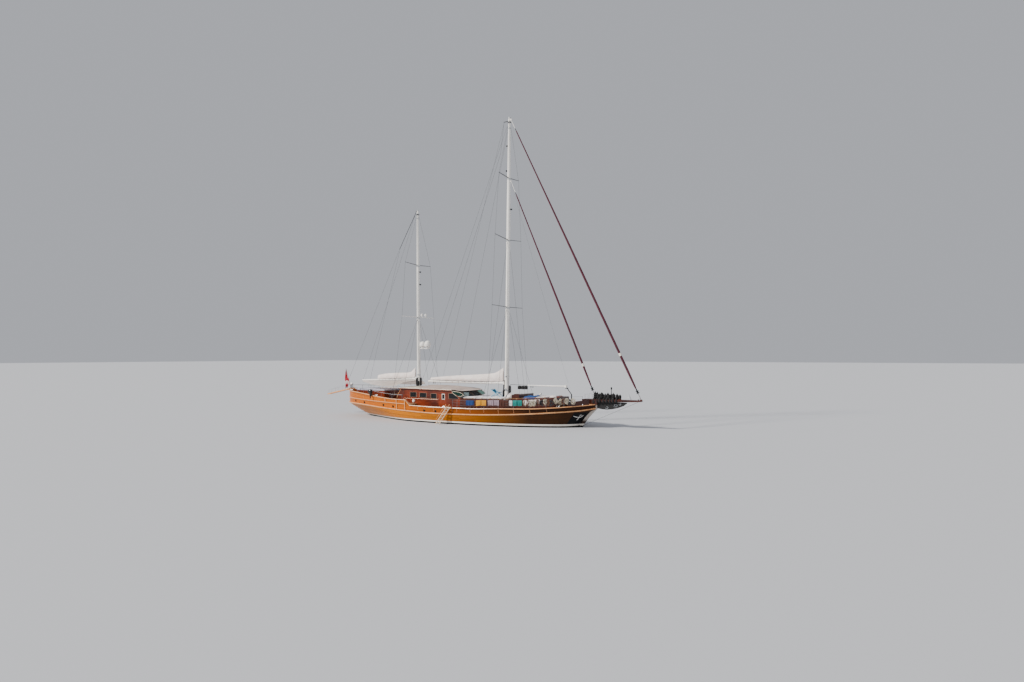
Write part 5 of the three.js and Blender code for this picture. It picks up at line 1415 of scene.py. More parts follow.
@dataclass
class DeckhouseTrim:
    """Window frames and panes, rails, mouldings, lamps and the curved wind screens of the deckhouse."""

    side_windows: tuple = ((-5.05, -4.26, 2.37, 2.86), (-3.81, -2.97, 2.35, 2.82), (-2.37, -1.70, 2.29, 2.78))
    quarter: tuple = ((-0.15, 2.33), (-0.15, 2.85), (0.42, 2.85), (1.01, 2.44), (1.02, 2.33))
    door_light: tuple = ((-0.98, 2.28), (-0.98, 2.74), (-0.68, 2.74), (-0.68, 2.28))
    wall: float = 2.2  # half-width over the sides
    roof_half: float = 2.33
    brackets: tuple = ((-6.25, 2.26, 3.14), (-6.1, 2.7, 2.92), (-5.85, 3.3, 2.55), (-5.65, 3.6, 2.31))
    screen_tops: tuple = ((0.22, 3.09), (0.5, 3.07), (0.9, 3.02), (1.25, 2.92), (1.52, 2.74))  # x and height
    screen_feet: tuple = ((0.22, 3.07), (0.45, 2.82), (0.8, 2.63), (1.15, 2.58), (1.52, 2.7))

    def build(self) -> None:
        """Makes every piece of the trim."""
        self.windows()
        self.side_door()
        self.mouldings()
        self.wind_screens()
        self.companion()

    def windows(self) -> None:
        """Glazes the sides, with pale frames outside and inside."""
        frames, panes = Form(), Form()
        for s in Side:
            shapes = [((a, c), (a, d), (b, d), (b, c)) for a, b, c, d in self.side_windows]
            shapes.append(self.quarter)
            for shape in shapes:
                frames.rim(shape, 0.026, (s * (self.wall - 0.002), s * (self.wall + 0.014)))
                frames.rim(shape, 0.026, (s * (self.wall - 0.085), s * (self.wall - 0.068)))
                low = [(x, s * (self.wall - 0.04), z) for x, z in shape]
                high = [(x, s * (self.wall - 0.032), z) for x, z in shape]
                panes.loft([low, high])
        frames.piece("deckhouse_window_frames", PALE_FRAME, "rail_paint")
        panes.piece("deckhouse_panes", DARK_GLASS, "glass")

    def side_door(self) -> None:
        """Fits the side door with a framed light and a handle."""
        low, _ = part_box("side_door")
        y = low[1]
        shape = self.door_light
        light = Form().rim(shape, 0.05, (y - 0.016, y + 0.002))
        light.piece("side_door_frame", MAST_ENAMEL, "white_paint", "side_door")
        pane = Form().loft([[(x, y - 0.006, z) for x, z in shape], [(x, y + 0.001, z) for x, z in shape]])
        pane.piece("side_door_pane", DARK_GLASS, "glass", "side_door")
        knob = Form().turned(KNOB, (low[0] + 0.1, y, 2.1), (0, -1, 0), 14)
        knob.piece("side_door_knob", BRONZE, "bronze", "side_door")

    def mouldings(self) -> None:
        """Runs mouldings along the roof edge and the foot of the windows, and hangs the side lamps."""
        form, wood = Form(), Form()
        roof = Skin("deckhouse_roof")
        for s in Side:
            edge = []
            for k in range(25):
                x = -6.5 + 6.75 * k / 24
                edge.append((x, s * (self.roof_half - 0.005), roof.top(x, s * (self.roof_half - 0.02)) + 0.004))
            form.tube(edge, 0.017)
            wood.tube([(x, s * (self.wall + 0.004), 2.2) for x in (-5.9, -4.0, -1.5)], 0.016)
            wood.tube([(x, s * y, z) for x, y, z in self.brackets], 0.022)
        wood.piece("deckhouse_handrails", RAIL_ENAMEL, "rail_paint")
        form.piece("roof_edge_moulding", CANVAS_PAINT, "cream_cloth")
        lamp = Form()
        for side in Side:
            lamp.turned(
                [[0.15, 0], [0.17, 0.02], [0.15, 0.04], [0.13, 0.05], [0.1, 0.085], [0, 0.1]],
                (-4.62, side * (self.wall - 0.002), 1.95), (0, side, 0), 24,
            )
        lamp.piece("side_lamps", LAMP_GLASS, "white_paint")

    def wind_screens(self) -> None:
        """Bends a framed wind screen round each fore corner of the deckhouse."""
        frames, panes = Form(), Form()
        for s in Side:
            rows = []
            for line in (self.screen_tops, self.screen_feet):
                rows.append([(x, s * (2.24 - 0.09 * max(0.0, x) ** 2), z) for x, z in smooth_rows(line, 16)])
            frames.tube(rows[0], 0.02, 8).tube(rows[1], 0.02, 8).tube([rows[0][-1], rows[1][-1]], 0.018)
            grid = [[Vector(a).lerp(Vector(b), t / 4) for t in range(5)] for a, b in zip(rows[0][1:], rows[1][1:])]
            panes.loft(grid, closed=False, caps=False)
        frames.piece("wind_screen_frames", CANVAS_PAINT, "white_paint")
        panes.piece("wind_screen_panes", LENS_GLASS, "glass")

    def companion(self) -> None:
        """Trims the companion door with panels and a knob."""
        low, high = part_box("companion_door")
        form = Form()
        x, middle = low[0], (low[2] + high[2]) / 2
        for z0, z1 in ((low[2] + 0.1, middle - 0.04), (middle + 0.04, high[2] - 0.1)):
            form.block((x - 0.012, low[1] + 0.09, z0), (x + 0.004, high[1] - 0.09, z1), 0.008)
        form.piece("companion_panels", MAHOGANY_UPRIGHT, "mahogany", "companion_door")
        knob = Form().turned(KNOB, (x, low[1] + 0.05, middle), (-1, 0, 0), 14)
        knob.piece("companion_knob", BRONZE, "bronze", "companion_door")


@dataclass
class Spar:
    """One mast: its fittings, winches, halyards and lower shrouds."""

    name: str
    foot: Hold  # x and height
    head: Hold
    radii: Hold  # at the foot, at the start of the taper and at the head
    bands: tuple  # heights
    lamps: tuple  # height, and 1 for a lamp on the fore side or -1 for one abaft
    winches: tuple  # side and height
    bundles: tuple  # x, y, foot and head of each coil that is made up on the mast
    lowers: tuple  # height on the mast, then x, half-width and height of the foot
    deck_lamps: tuple = ()  # y and height
    taper: float = 0.66  # where the taper starts, as a share of the height

    def middle(self, z: float) -> Vector:
        """Gives the middle of the mast at a height."""
        t = (z - self.foot[1]) / (self.head[1] - self.foot[1])
        return Vector((self.foot[0] + (self.head[0] - self.foot[0]) * t, 0, z))

    def radius(self, z: float) -> float:
        """Gives the mast's radius at a height.

        Args:
            z: The height.

        Returns:
            The radius.
        """
        t = (z - self.foot[1]) / (self.head[1] - self.foot[1])
        a, b, c = self.radii
        if t < self.taper:
            return a + (b - a) * t / self.taper
        return b + (c - b) * (t - self.taper) / (1 - self.taper)

    def build(self) -> None:
        """Makes every fitting of the mast."""
        bands = Form()
        for z in self.bands:
            r = self.radius(z)
            ring = [(r - 0.004, -0.06), (r + 0.014, -0.05), (r + 0.014, 0.05), (r - 0.004, 0.06)]
            bands.turned(ring, self.middle(z), sides=24)
        top = self.middle(self.head[1])
        r = self.radius(self.head[1])
        bands.turned([(r + 0.01, -0.12), (r + 0.012, -0.03), (r * 0.6, -0.004), (0, -0.002)], top)
        bands.piece(self.name + "_bands", STAINLESS, "stainless")
        lamps = Form()
        shell = ((0.05, 0), (0.085, 0.03), (0.1, 0.11), (0.09, 0.14), (0, 0.16))
        arm = Vector((0.02, 0.05, 0.03))
        for z, side in self.lamps:
            at = self.middle(z) + Vector((side * (self.radius(z) - 0.01), 0, 0))
            lamps.block(at - arm, at + arm + Vector((side * 0.07, 0, 0)), 0.01)
            lamps.turned(shell, at + Vector((side * 0.12, 0, -0.08)), sides=16)
        lamps.piece(self.name + "_lamps", IRON, "dark_iron")
        if self.deck_lamps:
            globes = Form()
            globe = ((0.02, -0.04), (0.03, 0.05), (0.11, 0.08), (0.15, 0.18), (0.12, 0.3), (0, 0.36))
            for y, z in self.deck_lamps:
                globes.turned(globe, self.middle(z) + Vector((0, y, 0)), sides=16)
            globes.piece(self.name + "_deck_lamps", DOME_SHELL, "white_paint")
        self.halyards()
        self.shrouds()

    def halyards(self) -> None:
        """Leads halyards down the mast to winches, with their falls made up in black coils."""
        ropes, winches = Form(), Form()
        drum = ((0.07, 0), (0.075, 0.05), (0.055, 0.07), (0.045, 0.12), (0.06, 0.16), (0.062, 0.18), (0.02, 0.19),
                (0, 0.2))
        for side, z in self.winches:
            at = self.middle(z)
            out = Vector((0, side, 0))
            base = at + out * (self.radius(z) - 0.02)
            winches.turned(drum, base, out, 18)
            head = self.middle(self.head[1] - 0.3)
            line = [base + out * 0.11 + Vector((0.05, 0, 0))]
            line.append(self.middle(z + 1.2) + out * (self.radius(z) + 0.03) + Vector((0.05, 0, 0)))
            line.append(head + out * (self.radius(self.head[1]) + 0.01) + Vector((0.03, 0, 0)))
            ropes.tube(line, 0.008, 5)
        winches.piece(self.name + "_winches", STAINLESS, "stainless")
        for x, y, low, high in self.bundles:
            half = (high - low) / 2
            for turn in range(9):
                lean = 0.05 * math.sin(turn * 1.9)
                loop = [
                    (x + (0.05 + 0.008 * turn) * math.cos(a) + lean, y + 0.035 * (turn - 4) * 0.6,
                     (low + high) / 2 + (half - 0.012 * (turn % 4)) * math.sin(a))
                    for a in bearings(24, closed=True)
                ]
                ropes.tube(loop, 0.015, 6)
        ropes.piece(self.name + "_halyards", DARK_ROPE, "black_cloth")

    def shrouds(self) -> None:
        """Sets up the lower and middle shrouds with their turnbuckles."""
        wires = Form()
        for z, x, y, low in self.lowers:
            for side in Side:
                start = self.middle(z) + Vector((0, side * (self.radius(z) - 0.01), 0))
                end = Vector((x, side * y, low))
                wires.tube([start, end], 0.009, 6)
                along = (start - end).normalized()
                wires.tube([end + along * reach for reach in (0.1, 0.14, 0.5, 0.54)], [0.01, 0.02, 0.02, 0.01])
        wires.piece(self.name + "_lower_shrouds", WIRE, "dark_iron")


@dataclass
class RunningRigging:
    """Lifts, backstays, cranes and the gear that hangs from the booms."""

    lifts: tuple = (
        # boom, piece, then the radius and the points, as x and height, of each line
        ("main_boom", "main_boom_lifts", (0.009, (5.0, 30.12), (4.6, 27.0), (-4.2, 4.06)),
         (0.007, (5.0, 30.0), (-2.4, 4.62))),
        ("mizzen_boom", "mizzen_boom_lift", (0.008, (-6.05, 22.3), (-13.5, 3.97))),
    )
    cranes: tuple = (((4.96, -0.03, 30.1), (5.6, 0.03, 30.18)), ((-6.1, -0.03, 22.28), (-5.85, 0.03, 22.34)))
    pairs: tuple = (
        # ends and radius of the backstays, one to a side
        ((-8.26, 0.02, 18.5), (-14.45, 1.9, 2.96), 0.008), ((5.45, 0.15, 29.6), (-3.4, 3.6, 1.78), 0.008),
    )
    middles: tuple = (
        # ends, radius and sides of the strut abaft the mizzen, a halyard led forward and the bobstay
        ((-6.0, 0, 22.3), (-8.3, 0, 18.4), 0.028, 8), ((5.75, 0, 24.2), (12.0, 0.02, 4.1), 0.005, 5),
        ((19.05, 0, 2.53), (13.62, 0, 0.16), 0.011, 6),
    )
    blocks: tuple = (("main_boom", -3.7, 3.83), ("mizzen_boom", -12.9, 3.8), ("staysail_boom", 8.05, 3.66))

    def build(self) -> None:
        """Makes every line."""
        for boom, name, *lines in self.lifts:
            form = Form()
            for radius, *points in lines:
                form.tube([(x, 0, z) for x, z in points], radius, 6)
            form.piece(name, DARK_ROPE, "black_cloth", boom)
        cranes = Form()
        for low, high in self.cranes:
            cranes.block(low, high, 0.01)
        cranes.piece("masthead_cranes", WIRE, "dark_iron")
        stays = Form()
        for side in Side:
            for (x0, y0, z0), (x1, y1, z1), radius in self.pairs:
                stays.tube([(x0, side * y0, z0), (x1, side * y1, z1)], radius, 6)
        for start, end, radius, sides in self.middles:
            stays.tube([start, end], radius, sides)
        stays.piece("running_stays", WIRE, "dark_iron")
        self.boom_gear()

    def boom_gear(self) -> None:
        """Hangs blocks and stowed bags under the booms."""
        for boom, aft, z in self.blocks:
            form = Form()
            for x in (aft, aft + 0.22):
                form.block((x - 0.035, -0.03, z - 0.13), (x + 0.035, 0.03, z - 0.01), 0.02)
                form.tube([(x, 0, z - 0.02), (x, 0, z + 0.03)], 0.012, 6)
            form.piece(boom + "_blocks", IRON, "dark_iron", boom)
        bags = Form()
        for x in (6.78, 7.18, 7.5):
            rings = []
            for k in range(13):
                t = k / 12
                swell = 0.17 * min(1.0, 6 * t + 0.35, 6 * (1 - t) + 0.5)
                rings.append([
                    (x + swell * 1.1 * squared(math.cos(a)), swell * 0.7 * squared(math.sin(a)),
                     3.7 - 0.34 * t + 0.014 * math.sin(3 * a + x))
                    for a in bearings(20)
                ])
            bags.loft(rings)
        bags.tube([(7.8, 0, 3.76), (6.7, 0, 3.78), (5.72, 0, 3.8)], 0.02)
        bag = bags.piece("staysail_boom_bags", BLACK_CANVAS, "black_cloth", "staysail_boom")


@dataclass
class FurledSail:
    """A headsail rolled round its stay, with its drum, halyard swivel and clew patch."""

    node: str
    foot: Hold  # x and height
    head: Hold
    radius: float
    clew: float  # height of the clew patch
    rows: int = 190
    sides: int = 18
    first: float = 0.42  # where the cloth starts, up the stay
    short: float = 0.25  # how far under the head it ends

    def __post_init__(self) -> None:
        """Works out the stay's line and how thick the roll is along it."""
        self.start = Vector((self.foot[0], 0, self.foot[1]))
        stay = Vector((self.head[0], 0, self.head[1])) - self.start
        self.along, self.length = stay.normalized(), stay.length
        self.profile = (
            (self.first, 0.05), (0.7, self.radius * 0.75), (2.2, self.radius),
            (self.length * 0.45, self.radius * 0.94), (self.length * 0.8, self.radius * 0.6),
            (self.length - 0.5, 0.055), (self.length - self.short, 0.035),
        )

    def place(self, reach: float, angle: float, radius: float) -> Vector:
        """Gives a place round the stay.

        Args:
            reach: Distance up the stay.
            angle: Direction from the stay, from port.
            radius: Distance from the stay.

        Returns:
            The place.
        """
        across = Vector((0, 1, 0))
        out = across * math.cos(angle) + self.along.cross(across) * math.sin(angle)
        return self.start + self.along * reach + out * radius

    def build(self) -> None:
        """Rolls the sail and makes its fittings."""
        self.roll()
        self.drum()
        self.clew_patch()

    def roll(self) -> None:
        """Rolls the sail, with the edge of the cloth running up it as a spiral."""
        rows = []
        for i in range(self.rows):
            reach = self.first + (self.length - self.first - self.short) * i / (self.rows - 1)
            base = curve_through(self.profile, reach)
            ring = []
            for angle in bearings(self.sides, closed=True):
                turn = (angle / math.tau + reach * 0.42) % 1.0
                fold = 1.0 + 0.05 * (turn - 0.5) + 0.05 * ripple(reach, angle * 0.5, 0.35, self.radius)
                ring.append(self.place(reach, angle, min(base * fold, base * 1.05)))
            rows.append(ring)
        lay_sheet(
            self.node + "_roll", rows, SAILCLOTH, "maroon_cloth", self.node, self.node, SHARP_FOLD
        )

    def drum(self) -> None:
        """Makes the furling drum with its line, and the swivel at the head."""
        profile = (
            (0.02, 0), (0.15, 0.0), (0.15, 0.045), (0.085, 0.06), (0.08, 0.2), (0.15, 0.215), (0.15, 0.25),
            (0.06, 0.262), (0.055, 0.42), (0.06, 0.44),
        )
        drum = Form().turned(profile, self.start, self.along, 24)
        for k in range(7):
            drum.tube([self.place(0.075 + 0.018 * k, a, 0.092) for a in bearings(20, closed=True)], 0.009, 5)
        swivel = [self.start + self.along * (self.length - short) for short in (0.3, 0.02)]
        drum.tube(swivel, [0.038, 0.03], 12)
        drum.piece(self.node + "_drum", IRON, "dark_iron", self.node)

    def clew_patch(self) -> None:
        """Lays the white patch of the clew round the roll."""
        rows = []
        for i in range(9):
            reach = (self.clew - self.start.z) / self.along.z + (i - 4) * 0.035
            radius = curve_through(self.profile, reach) * 1.09 + 0.002
            turns = (math.tau * (j + 0.4 * i) / self.sides for j in range(self.sides - 3))
            rows.append([self.place(reach, a, radius) for a in turns])
        lay_sheet(
            self.node + "_clew_patch", rows, PATCH_CLOTH, "white_cloth", body=self.node, smooth=SHARP_FOLD
        )


@dataclass
class SailCover:
    """Canvas over a sail that is flaked down on its boom, laced under it and up the mast."""

    node: str
    rows: tuple  # x, top, half-width, lift of the lower edge
    boom: tuple  # pivot x, z, end x, z, radius
    body: str
    count: int = 120  # rows of the cloth
    tie_gap: float = 0.75  # between the low points of the lower edge

    def under(self, x: float) -> float:
        """Gives the height of the boom's upper side."""
        px, pz, ex, ez, radius = self.boom
        return ez + (pz - ez) * (x - ex) / (px - ex) + radius

    def build(self) -> None:
        """Cuts the cover and laces it."""
        rows = []
        right = ((0.28, 0.93), (0.55, 0.8), (0.86, 0.55), (1.0, 0.3), (0.8, 0.0))
        profile = [*((-y, z) for y, z in right[::-1]), (0, 1.0), *right]
        for x, top, half, lift in smooth_rows(self.rows, self.count):
            low = self.under(x) + 0.001 + lift
            height = top - low
            row = []
            scallop = 0.02 * abs(math.sin(x * math.pi / self.tie_gap))
            for k, (y, z) in enumerate(profile):
                edge = abs(k - 5) / 5
                hem = edge == 1
                give = math.sin(math.pi * min(1.0, 1.15 - edge))
                slack = 0.0 if hem else 0.035 * ripple(x, k * 0.45, 0.55, 3.0) * give
                crease = 0.012 * math.sin(x * 9 + k * 1.3) * (0.4 + edge)
                width = half * y * 0.98 + (slack + crease) * (1 if y > 0 else -1 if y < 0 else 0)
                row.append((x, width, low + height * z * 0.99 + (scallop if hem else 0) + slack * 0.4))
            rows.append(row)
        form = Form().loft(rows, closed=False, caps=False)
        bmesh.ops.subdivide_edges(form.mesh, edges=form.mesh.edges[:], cuts=1, use_grid_fill=True, smooth=0.6)
        cover = form.piece(self.node + "_canvas", CANVAS, "cream_cloth", self.body, smooth=180.0)
        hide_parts(self.node)
        ties = Form()
        first, last = self.rows[1][0], self.rows[-1][0]
        for k in range(11):
            x = first + (last - first) * (k + 0.5) / 11
            r = self.boom[4] + 0.004
            z = self.under(x) - self.boom[4]
            half = curve_through(sorted((row[0], row[2]) for row in self.rows), x) * 0.8
            wide = max(r, half * 0.97)
            ties.tube(
                [(x, -wide, z + r + 0.012), (x, -r, z + r * 0.35), (x, -r * 0.7, z - r * 0.72), (x, 0, z - r - 0.004),
                 (x, r * 0.7, z - r * 0.72), (x, r, z + r * 0.35), (x, wide, z + r + 0.012)], 0.008, 6,
            )
        ties.piece(self.node + "_ties", ROPE, "cream_cloth", self.body)


@dataclass
class Awnings:
    """The awning under the mizzen boom and the canopy over the deckhouse: single sheets with taut, hollowed edges."""

    awning: tuple = (
        (-6.0, 0.1, 3.96, 3.985), (-6.19, 0.4, 3.94, 3.995), (-6.4, 1.7, 3.85, 4.04), (-6.7, 2.48, 3.54, 4.03),
        (-7.65, 2.5, 3.45, 3.99), (-8.6, 2.3, 3.435, 3.955), (-10.2, 1.8, 3.48, 3.9), (-11.9, 1.0, 3.62, 3.84),
        (-13.5, 0.08, 3.74, 3.785),
    )
    canopy: tuple = (
        (-4.9, 0.3, 3.39, 3.40), (-3.8, 2.25, 3.3, 3.58), (-1.06, 2.3, 3.27, 3.56), (0.6, 2.25, 3.24, 3.44),
        (1.15, 1.95, 3.13, 3.37), (2.15, 0.3, 3.205, 3.23),
    )
    guys: tuple = (
        ((-6.75, 2.47, 3.53), (-6.3, 3.35, 2.42)), ((-8.6, 2.28, 3.43), (-8.6, 3.2, 2.75)),
        ((-10.2, 1.79, 3.47), (-10.2, 2.85, 2.85)),
    )
    dodger: tuple = ((-13.1, 2.16), (-12.0, 2.5), (-10.7, 2.85))  # x and y along the stern rail

    def sheet(self, name: str, node: str, rows: tuple, finish: Finish) -> None:
        """Cuts one sheet.

        Args:
            name: Name of the piece.
            node: The CAD node that it stands for.
            rows: x, half-width, height of the edge and height of the ridge.
            finish: Its cloth.
        """
        grid = []
        for x, half, edge, ridge in smooth_rows(rows, 70):
            row = []
            for k in range(-14, 15):
                t = abs(k) / 14
                drop = (ridge - edge) * (t ** 1.25)
                wave = 0.012 * ripple(x, k * 0.2, 0.8, 7.0) * (1 - t) + 0.008 * math.sin(x * 5.0) * t * (1 - t) * 4
                row.append((x, half * k / 14, ridge - drop - 0.008 + min(wave, 0.006)))
            grid.append(row)
        lay_sheet(name, grid, finish, "cream_cloth", node=node)
        hem = Form()
        for side in (0, -1):
            hem.tube([row[side] for row in grid], 0.011, 6)
        hem.piece(name + "_hem", finish, "cream_cloth")
        if node == "roof_canopy":
            band = Form()
            for side in (0, -1):
                band.tube([Vector(row[side]) - Vector((0, 0, 0.04)) for row in grid if row[0][0] > -0.9], 0.034)
            band.piece(name + "_bow", BLACK_CANVAS, "black_cloth")

    def build(self) -> None:
        """Stretches both sheets and their props."""
        self.sheet("aft_awning_canvas", "aft_awning", self.awning, AWNING_CANVAS)
        self.sheet("roof_canopy_canvas", "roof_canopy", self.canopy, CANOPY_CANVAS)
        lines = Form()
        for s in Side:
            for (x0, y0, z0), (x1, y1, z1) in self.guys:
                lines.tube([(x0, s * y0, z0), (x1, s * y1, z1)], 0.007, 6)
        lines.piece("awning_lines", ROPE, "white_cloth")
        cloth = []
        for k in range(25):
            x = -12.9 + 2.0 * k / 24
            y = curve_through(self.dodger, x)
            cloth.append([(x, y + 0.02 * math.sin(k * 0.9) * t / 4, 3.06 - 0.34 * t / 4) for t in range(5)])
        lay_sheet("stern_dodger", cloth, CANVAS, "cream_cloth")


HALVES = ((-1.0, 0.0), (0.0, 1.0))  # edges of a bed's pads, as shares of its half-width
THIRDS = ((-1.0, -0.34), (-0.33, 0.33), (0.34, 1.0))


@dataclass
class Upholstery:
    """Sunbed pads and mattresses, crowned and piped, and the cover heaped on the coachroof."""

    beds: tuple = (
        # name, letter of the first pad, node, aft and fore end, half-widths there, and the shares that the pads take
        ("sunbed_pad", "a", "sunbed_cushion", -13.56, -12.7, 1.09, 1.42, HALVES),
        ("sunbed_pad", "c", "sunbed_cushion", -12.68, -10.9, 1.42, 1.6, HALVES),
        ("sunbed_pad", "e", "sunbed_cushion", -10.88, -9.04, 1.6, 1.62, HALVES),
        ("mattress_aft_pad", "a", "mattress_aft", 2.92, 4.58, 2.03, 2.03, THIRDS),
        ("coachroof_pad", "a", "", 1.42, 2.9, 1.98, 2.03, THIRDS),
        ("coachroof_pad", "d", "", 4.62, 5.9, 2.03, 2.0, ((-1.0, -0.3),)),
        ("mattress_fore_pad", "a", "mattress_fore", 9.42, 10.43, 1.73, 1.73, HALVES),
    )
    thickness: tuple = (0.185, 0.108, 0.15)  # on the sunbed, on a mattress's base and on the bare coachroof
    roof: Skin = field(default_factory=lambda: Skin("coachroof"))

    def build(self) -> None:
        """Makes the pads, blows them up and pipes them."""
        made, piping, replaced = [], Form(), set()
        on_sunbed, on_mattress, on_roof = self.thickness
        for name, letter, node, x0, x1, h0, h1, shares in self.beds:
            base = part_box(node)[0][2] if node else 0.0
            sunbed = node == "sunbed_cushion"
            thick = on_sunbed if sunbed else on_mattress if node else on_roof
            for k, (s0, s1) in enumerate(shares):
                pad, seam = self.pad(f"{name}_{chr(ord(letter) + k)}", x0, x1, h0, h1, s0, s1, base, thick, sunbed)
                if node and node not in replaced:
                    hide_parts(node)
                    replaced.add(node)
                made.append(pad)
                for line in seam:
                    piping.tube(line, 0.008, 6)
        inflate(made)
        piping.piece("pad_piping", PIPING, "white_cloth")
        self.heaped_cover()

    def pad(
        self, name: str, x0: float, x1: float, h0: float, h1: float, s0: float, s1: float, base: float,
        thick: float, flat: bool,
    ) -> tuple[Thing, list]:
        """Shapes one pad: crowned, with sides that pull in between the corners.

        Args:
            name: Name of the pad.
            x0: Its aft end.
            x1: Its fore end.
            h0: Half-width of the bed aft.
            h1: Half-width of the bed fore.
            s0: Starboard edge as a share of the half-width.
            s1: Port edge as a share of the half-width.
            base: Height of what it lies on.
            thick: Its thickness.
            flat: Whether it lies on a level bed, or follows the coachroof.

        Returns:
            The pad and the lines of its piping.
        """
        rings, count, steps = [], 25, 21
        seams = [[], []]
        for i in range(count):
            u = i / (count - 1)
            ring_top, ring_low = [], []
            for j in range(steps):
                v = j / (steps - 1)
                half = h0 + (h1 - h0) * u
                pull = 0.014 * math.sin(math.pi * u)
                y0, y1 = half * s0 + 0.012 + pull, half * s1 - 0.012 - pull
                squeeze = 0.012 * math.sin(math.pi * v)
                x = (x0 + 0.01 + squeeze) + (x1 - x0 - 0.02 - 2 * squeeze) * u
                y = y0 + (y1 - y0) * v
                z = base + 0.001 if flat else self.roof.top(x, max(min(y, 1.9), -1.9)) + 0.003
                edge = min(u, 1 - u, v, 1 - v)
                crown = thick * (0.72 + 0.28 * min(1.0, edge * 6) ** 0.5)
                ring_top.append((x, y, z + crown - 0.006 * abs(ripple(x, y, 0.5, 2.0))))
                ring_low.append((x, y, z))
            rings.append(ring_top + ring_low[::-1])
            seams[0].append(Vector(ring_top[0]) + Vector((0, -0.004, 0.002)))
            seams[1].append(Vector(ring_top[-1]) + Vector((0, 0.004, 0.002)))
        first, last = rings[0][:steps], rings[-1][:steps]
        lines = [seams[0] + [Vector(p) for p in last[1:]], [Vector(p) for p in first] + seams[1][1:]]
        # The sunbed pads take the copy of the pad cloth with painted shade
        pad = Form().loft(rings).piece(name, SUNBED_VINYL_PAINTED_SHADE if flat else MATTRESS_COTTON, "white_cloth", smooth=60.0)
        return pad, lines

    def heaped_cover(self) -> None:
        """Drapes the blue cover over the gear under it."""
        grid = []
        for i in range(49):
            x = 7.93 + 1.34 * i / 48
            row = []
            for j in range(57):
                y = -1.47 + 1.74 * j / 56
                edge = min(i, 48 - i, (j if j < 28 else 56 - j)) / 10
                rise = min(1.0, edge) ** 0.6
                heap = 0.2 + 0.13 * ripple(x, y, 0.5, 4.0) + 0.05 * ripple(x, y, 0.17, 9.0)
                heap += 0.02 * math.sin(y * 22 + x * 6)
                z = self.roof.top(x, y) + 0.006 + min(0.345, max(0.0, heap) * rise)
                row.append((x + 0.02 * ripple(y, x, 0.3, 1.0), y, z))
            grid.append(row)
        lay_sheet("heaped_blue_cover", grid, BLUE_CANVAS, "blue_cloth", "blue_cover")


@dataclass
class DeckChair:
    """A folding chair of pale blue tube with a petrol blue sling, left open on the coachroof."""

    x: float = 4.75
    y: float = -1.0
    half: float = 0.34  # half its width
    foot: float = 2.63

    def build(self) -> None:
        """Makes the frame and the sling."""
        x, z = self.x, self.foot
        tube, sling = Form(), []
        for side in Side:
            y = self.y + side * self.half
            tube.tube([(x - 0.46, y, z + 0.72), (x - 0.3, y, z + 0.62), (x + 0.55, y, z)], 0.032)
            tube.tube([(x + 0.4, y, z + 0.44), (x + 0.2, y, z + 0.38), (x - 0.42, y, z)], 0.032)
        for x1, z1 in ((x - 0.46, z + 0.72), (x + 0.4, z + 0.44), (x + 0.55, z), (x - 0.42, z)):
            tube.tube([(x1, self.y - self.half, z1), (x1, self.y + self.half, z1)], 0.018)
        for k in range(17):
            t = k / 16
            sag = 0.2 * math.sin(math.pi * t)
            sling.append([
                (x - 0.4 + 0.8 * t, self.y + (self.half - 0.02) * (j / 4 - 1), z + 0.67 - 0.23 * t - sag + 0.012)
                for j in range(9)
            ])
        tube.piece("deck_chair_frame", CHAIR_ENAMEL, "blue_cloth")
        lay_sheet("deck_chair_sling", sling, SLING_CANVAS, "blue_cloth")


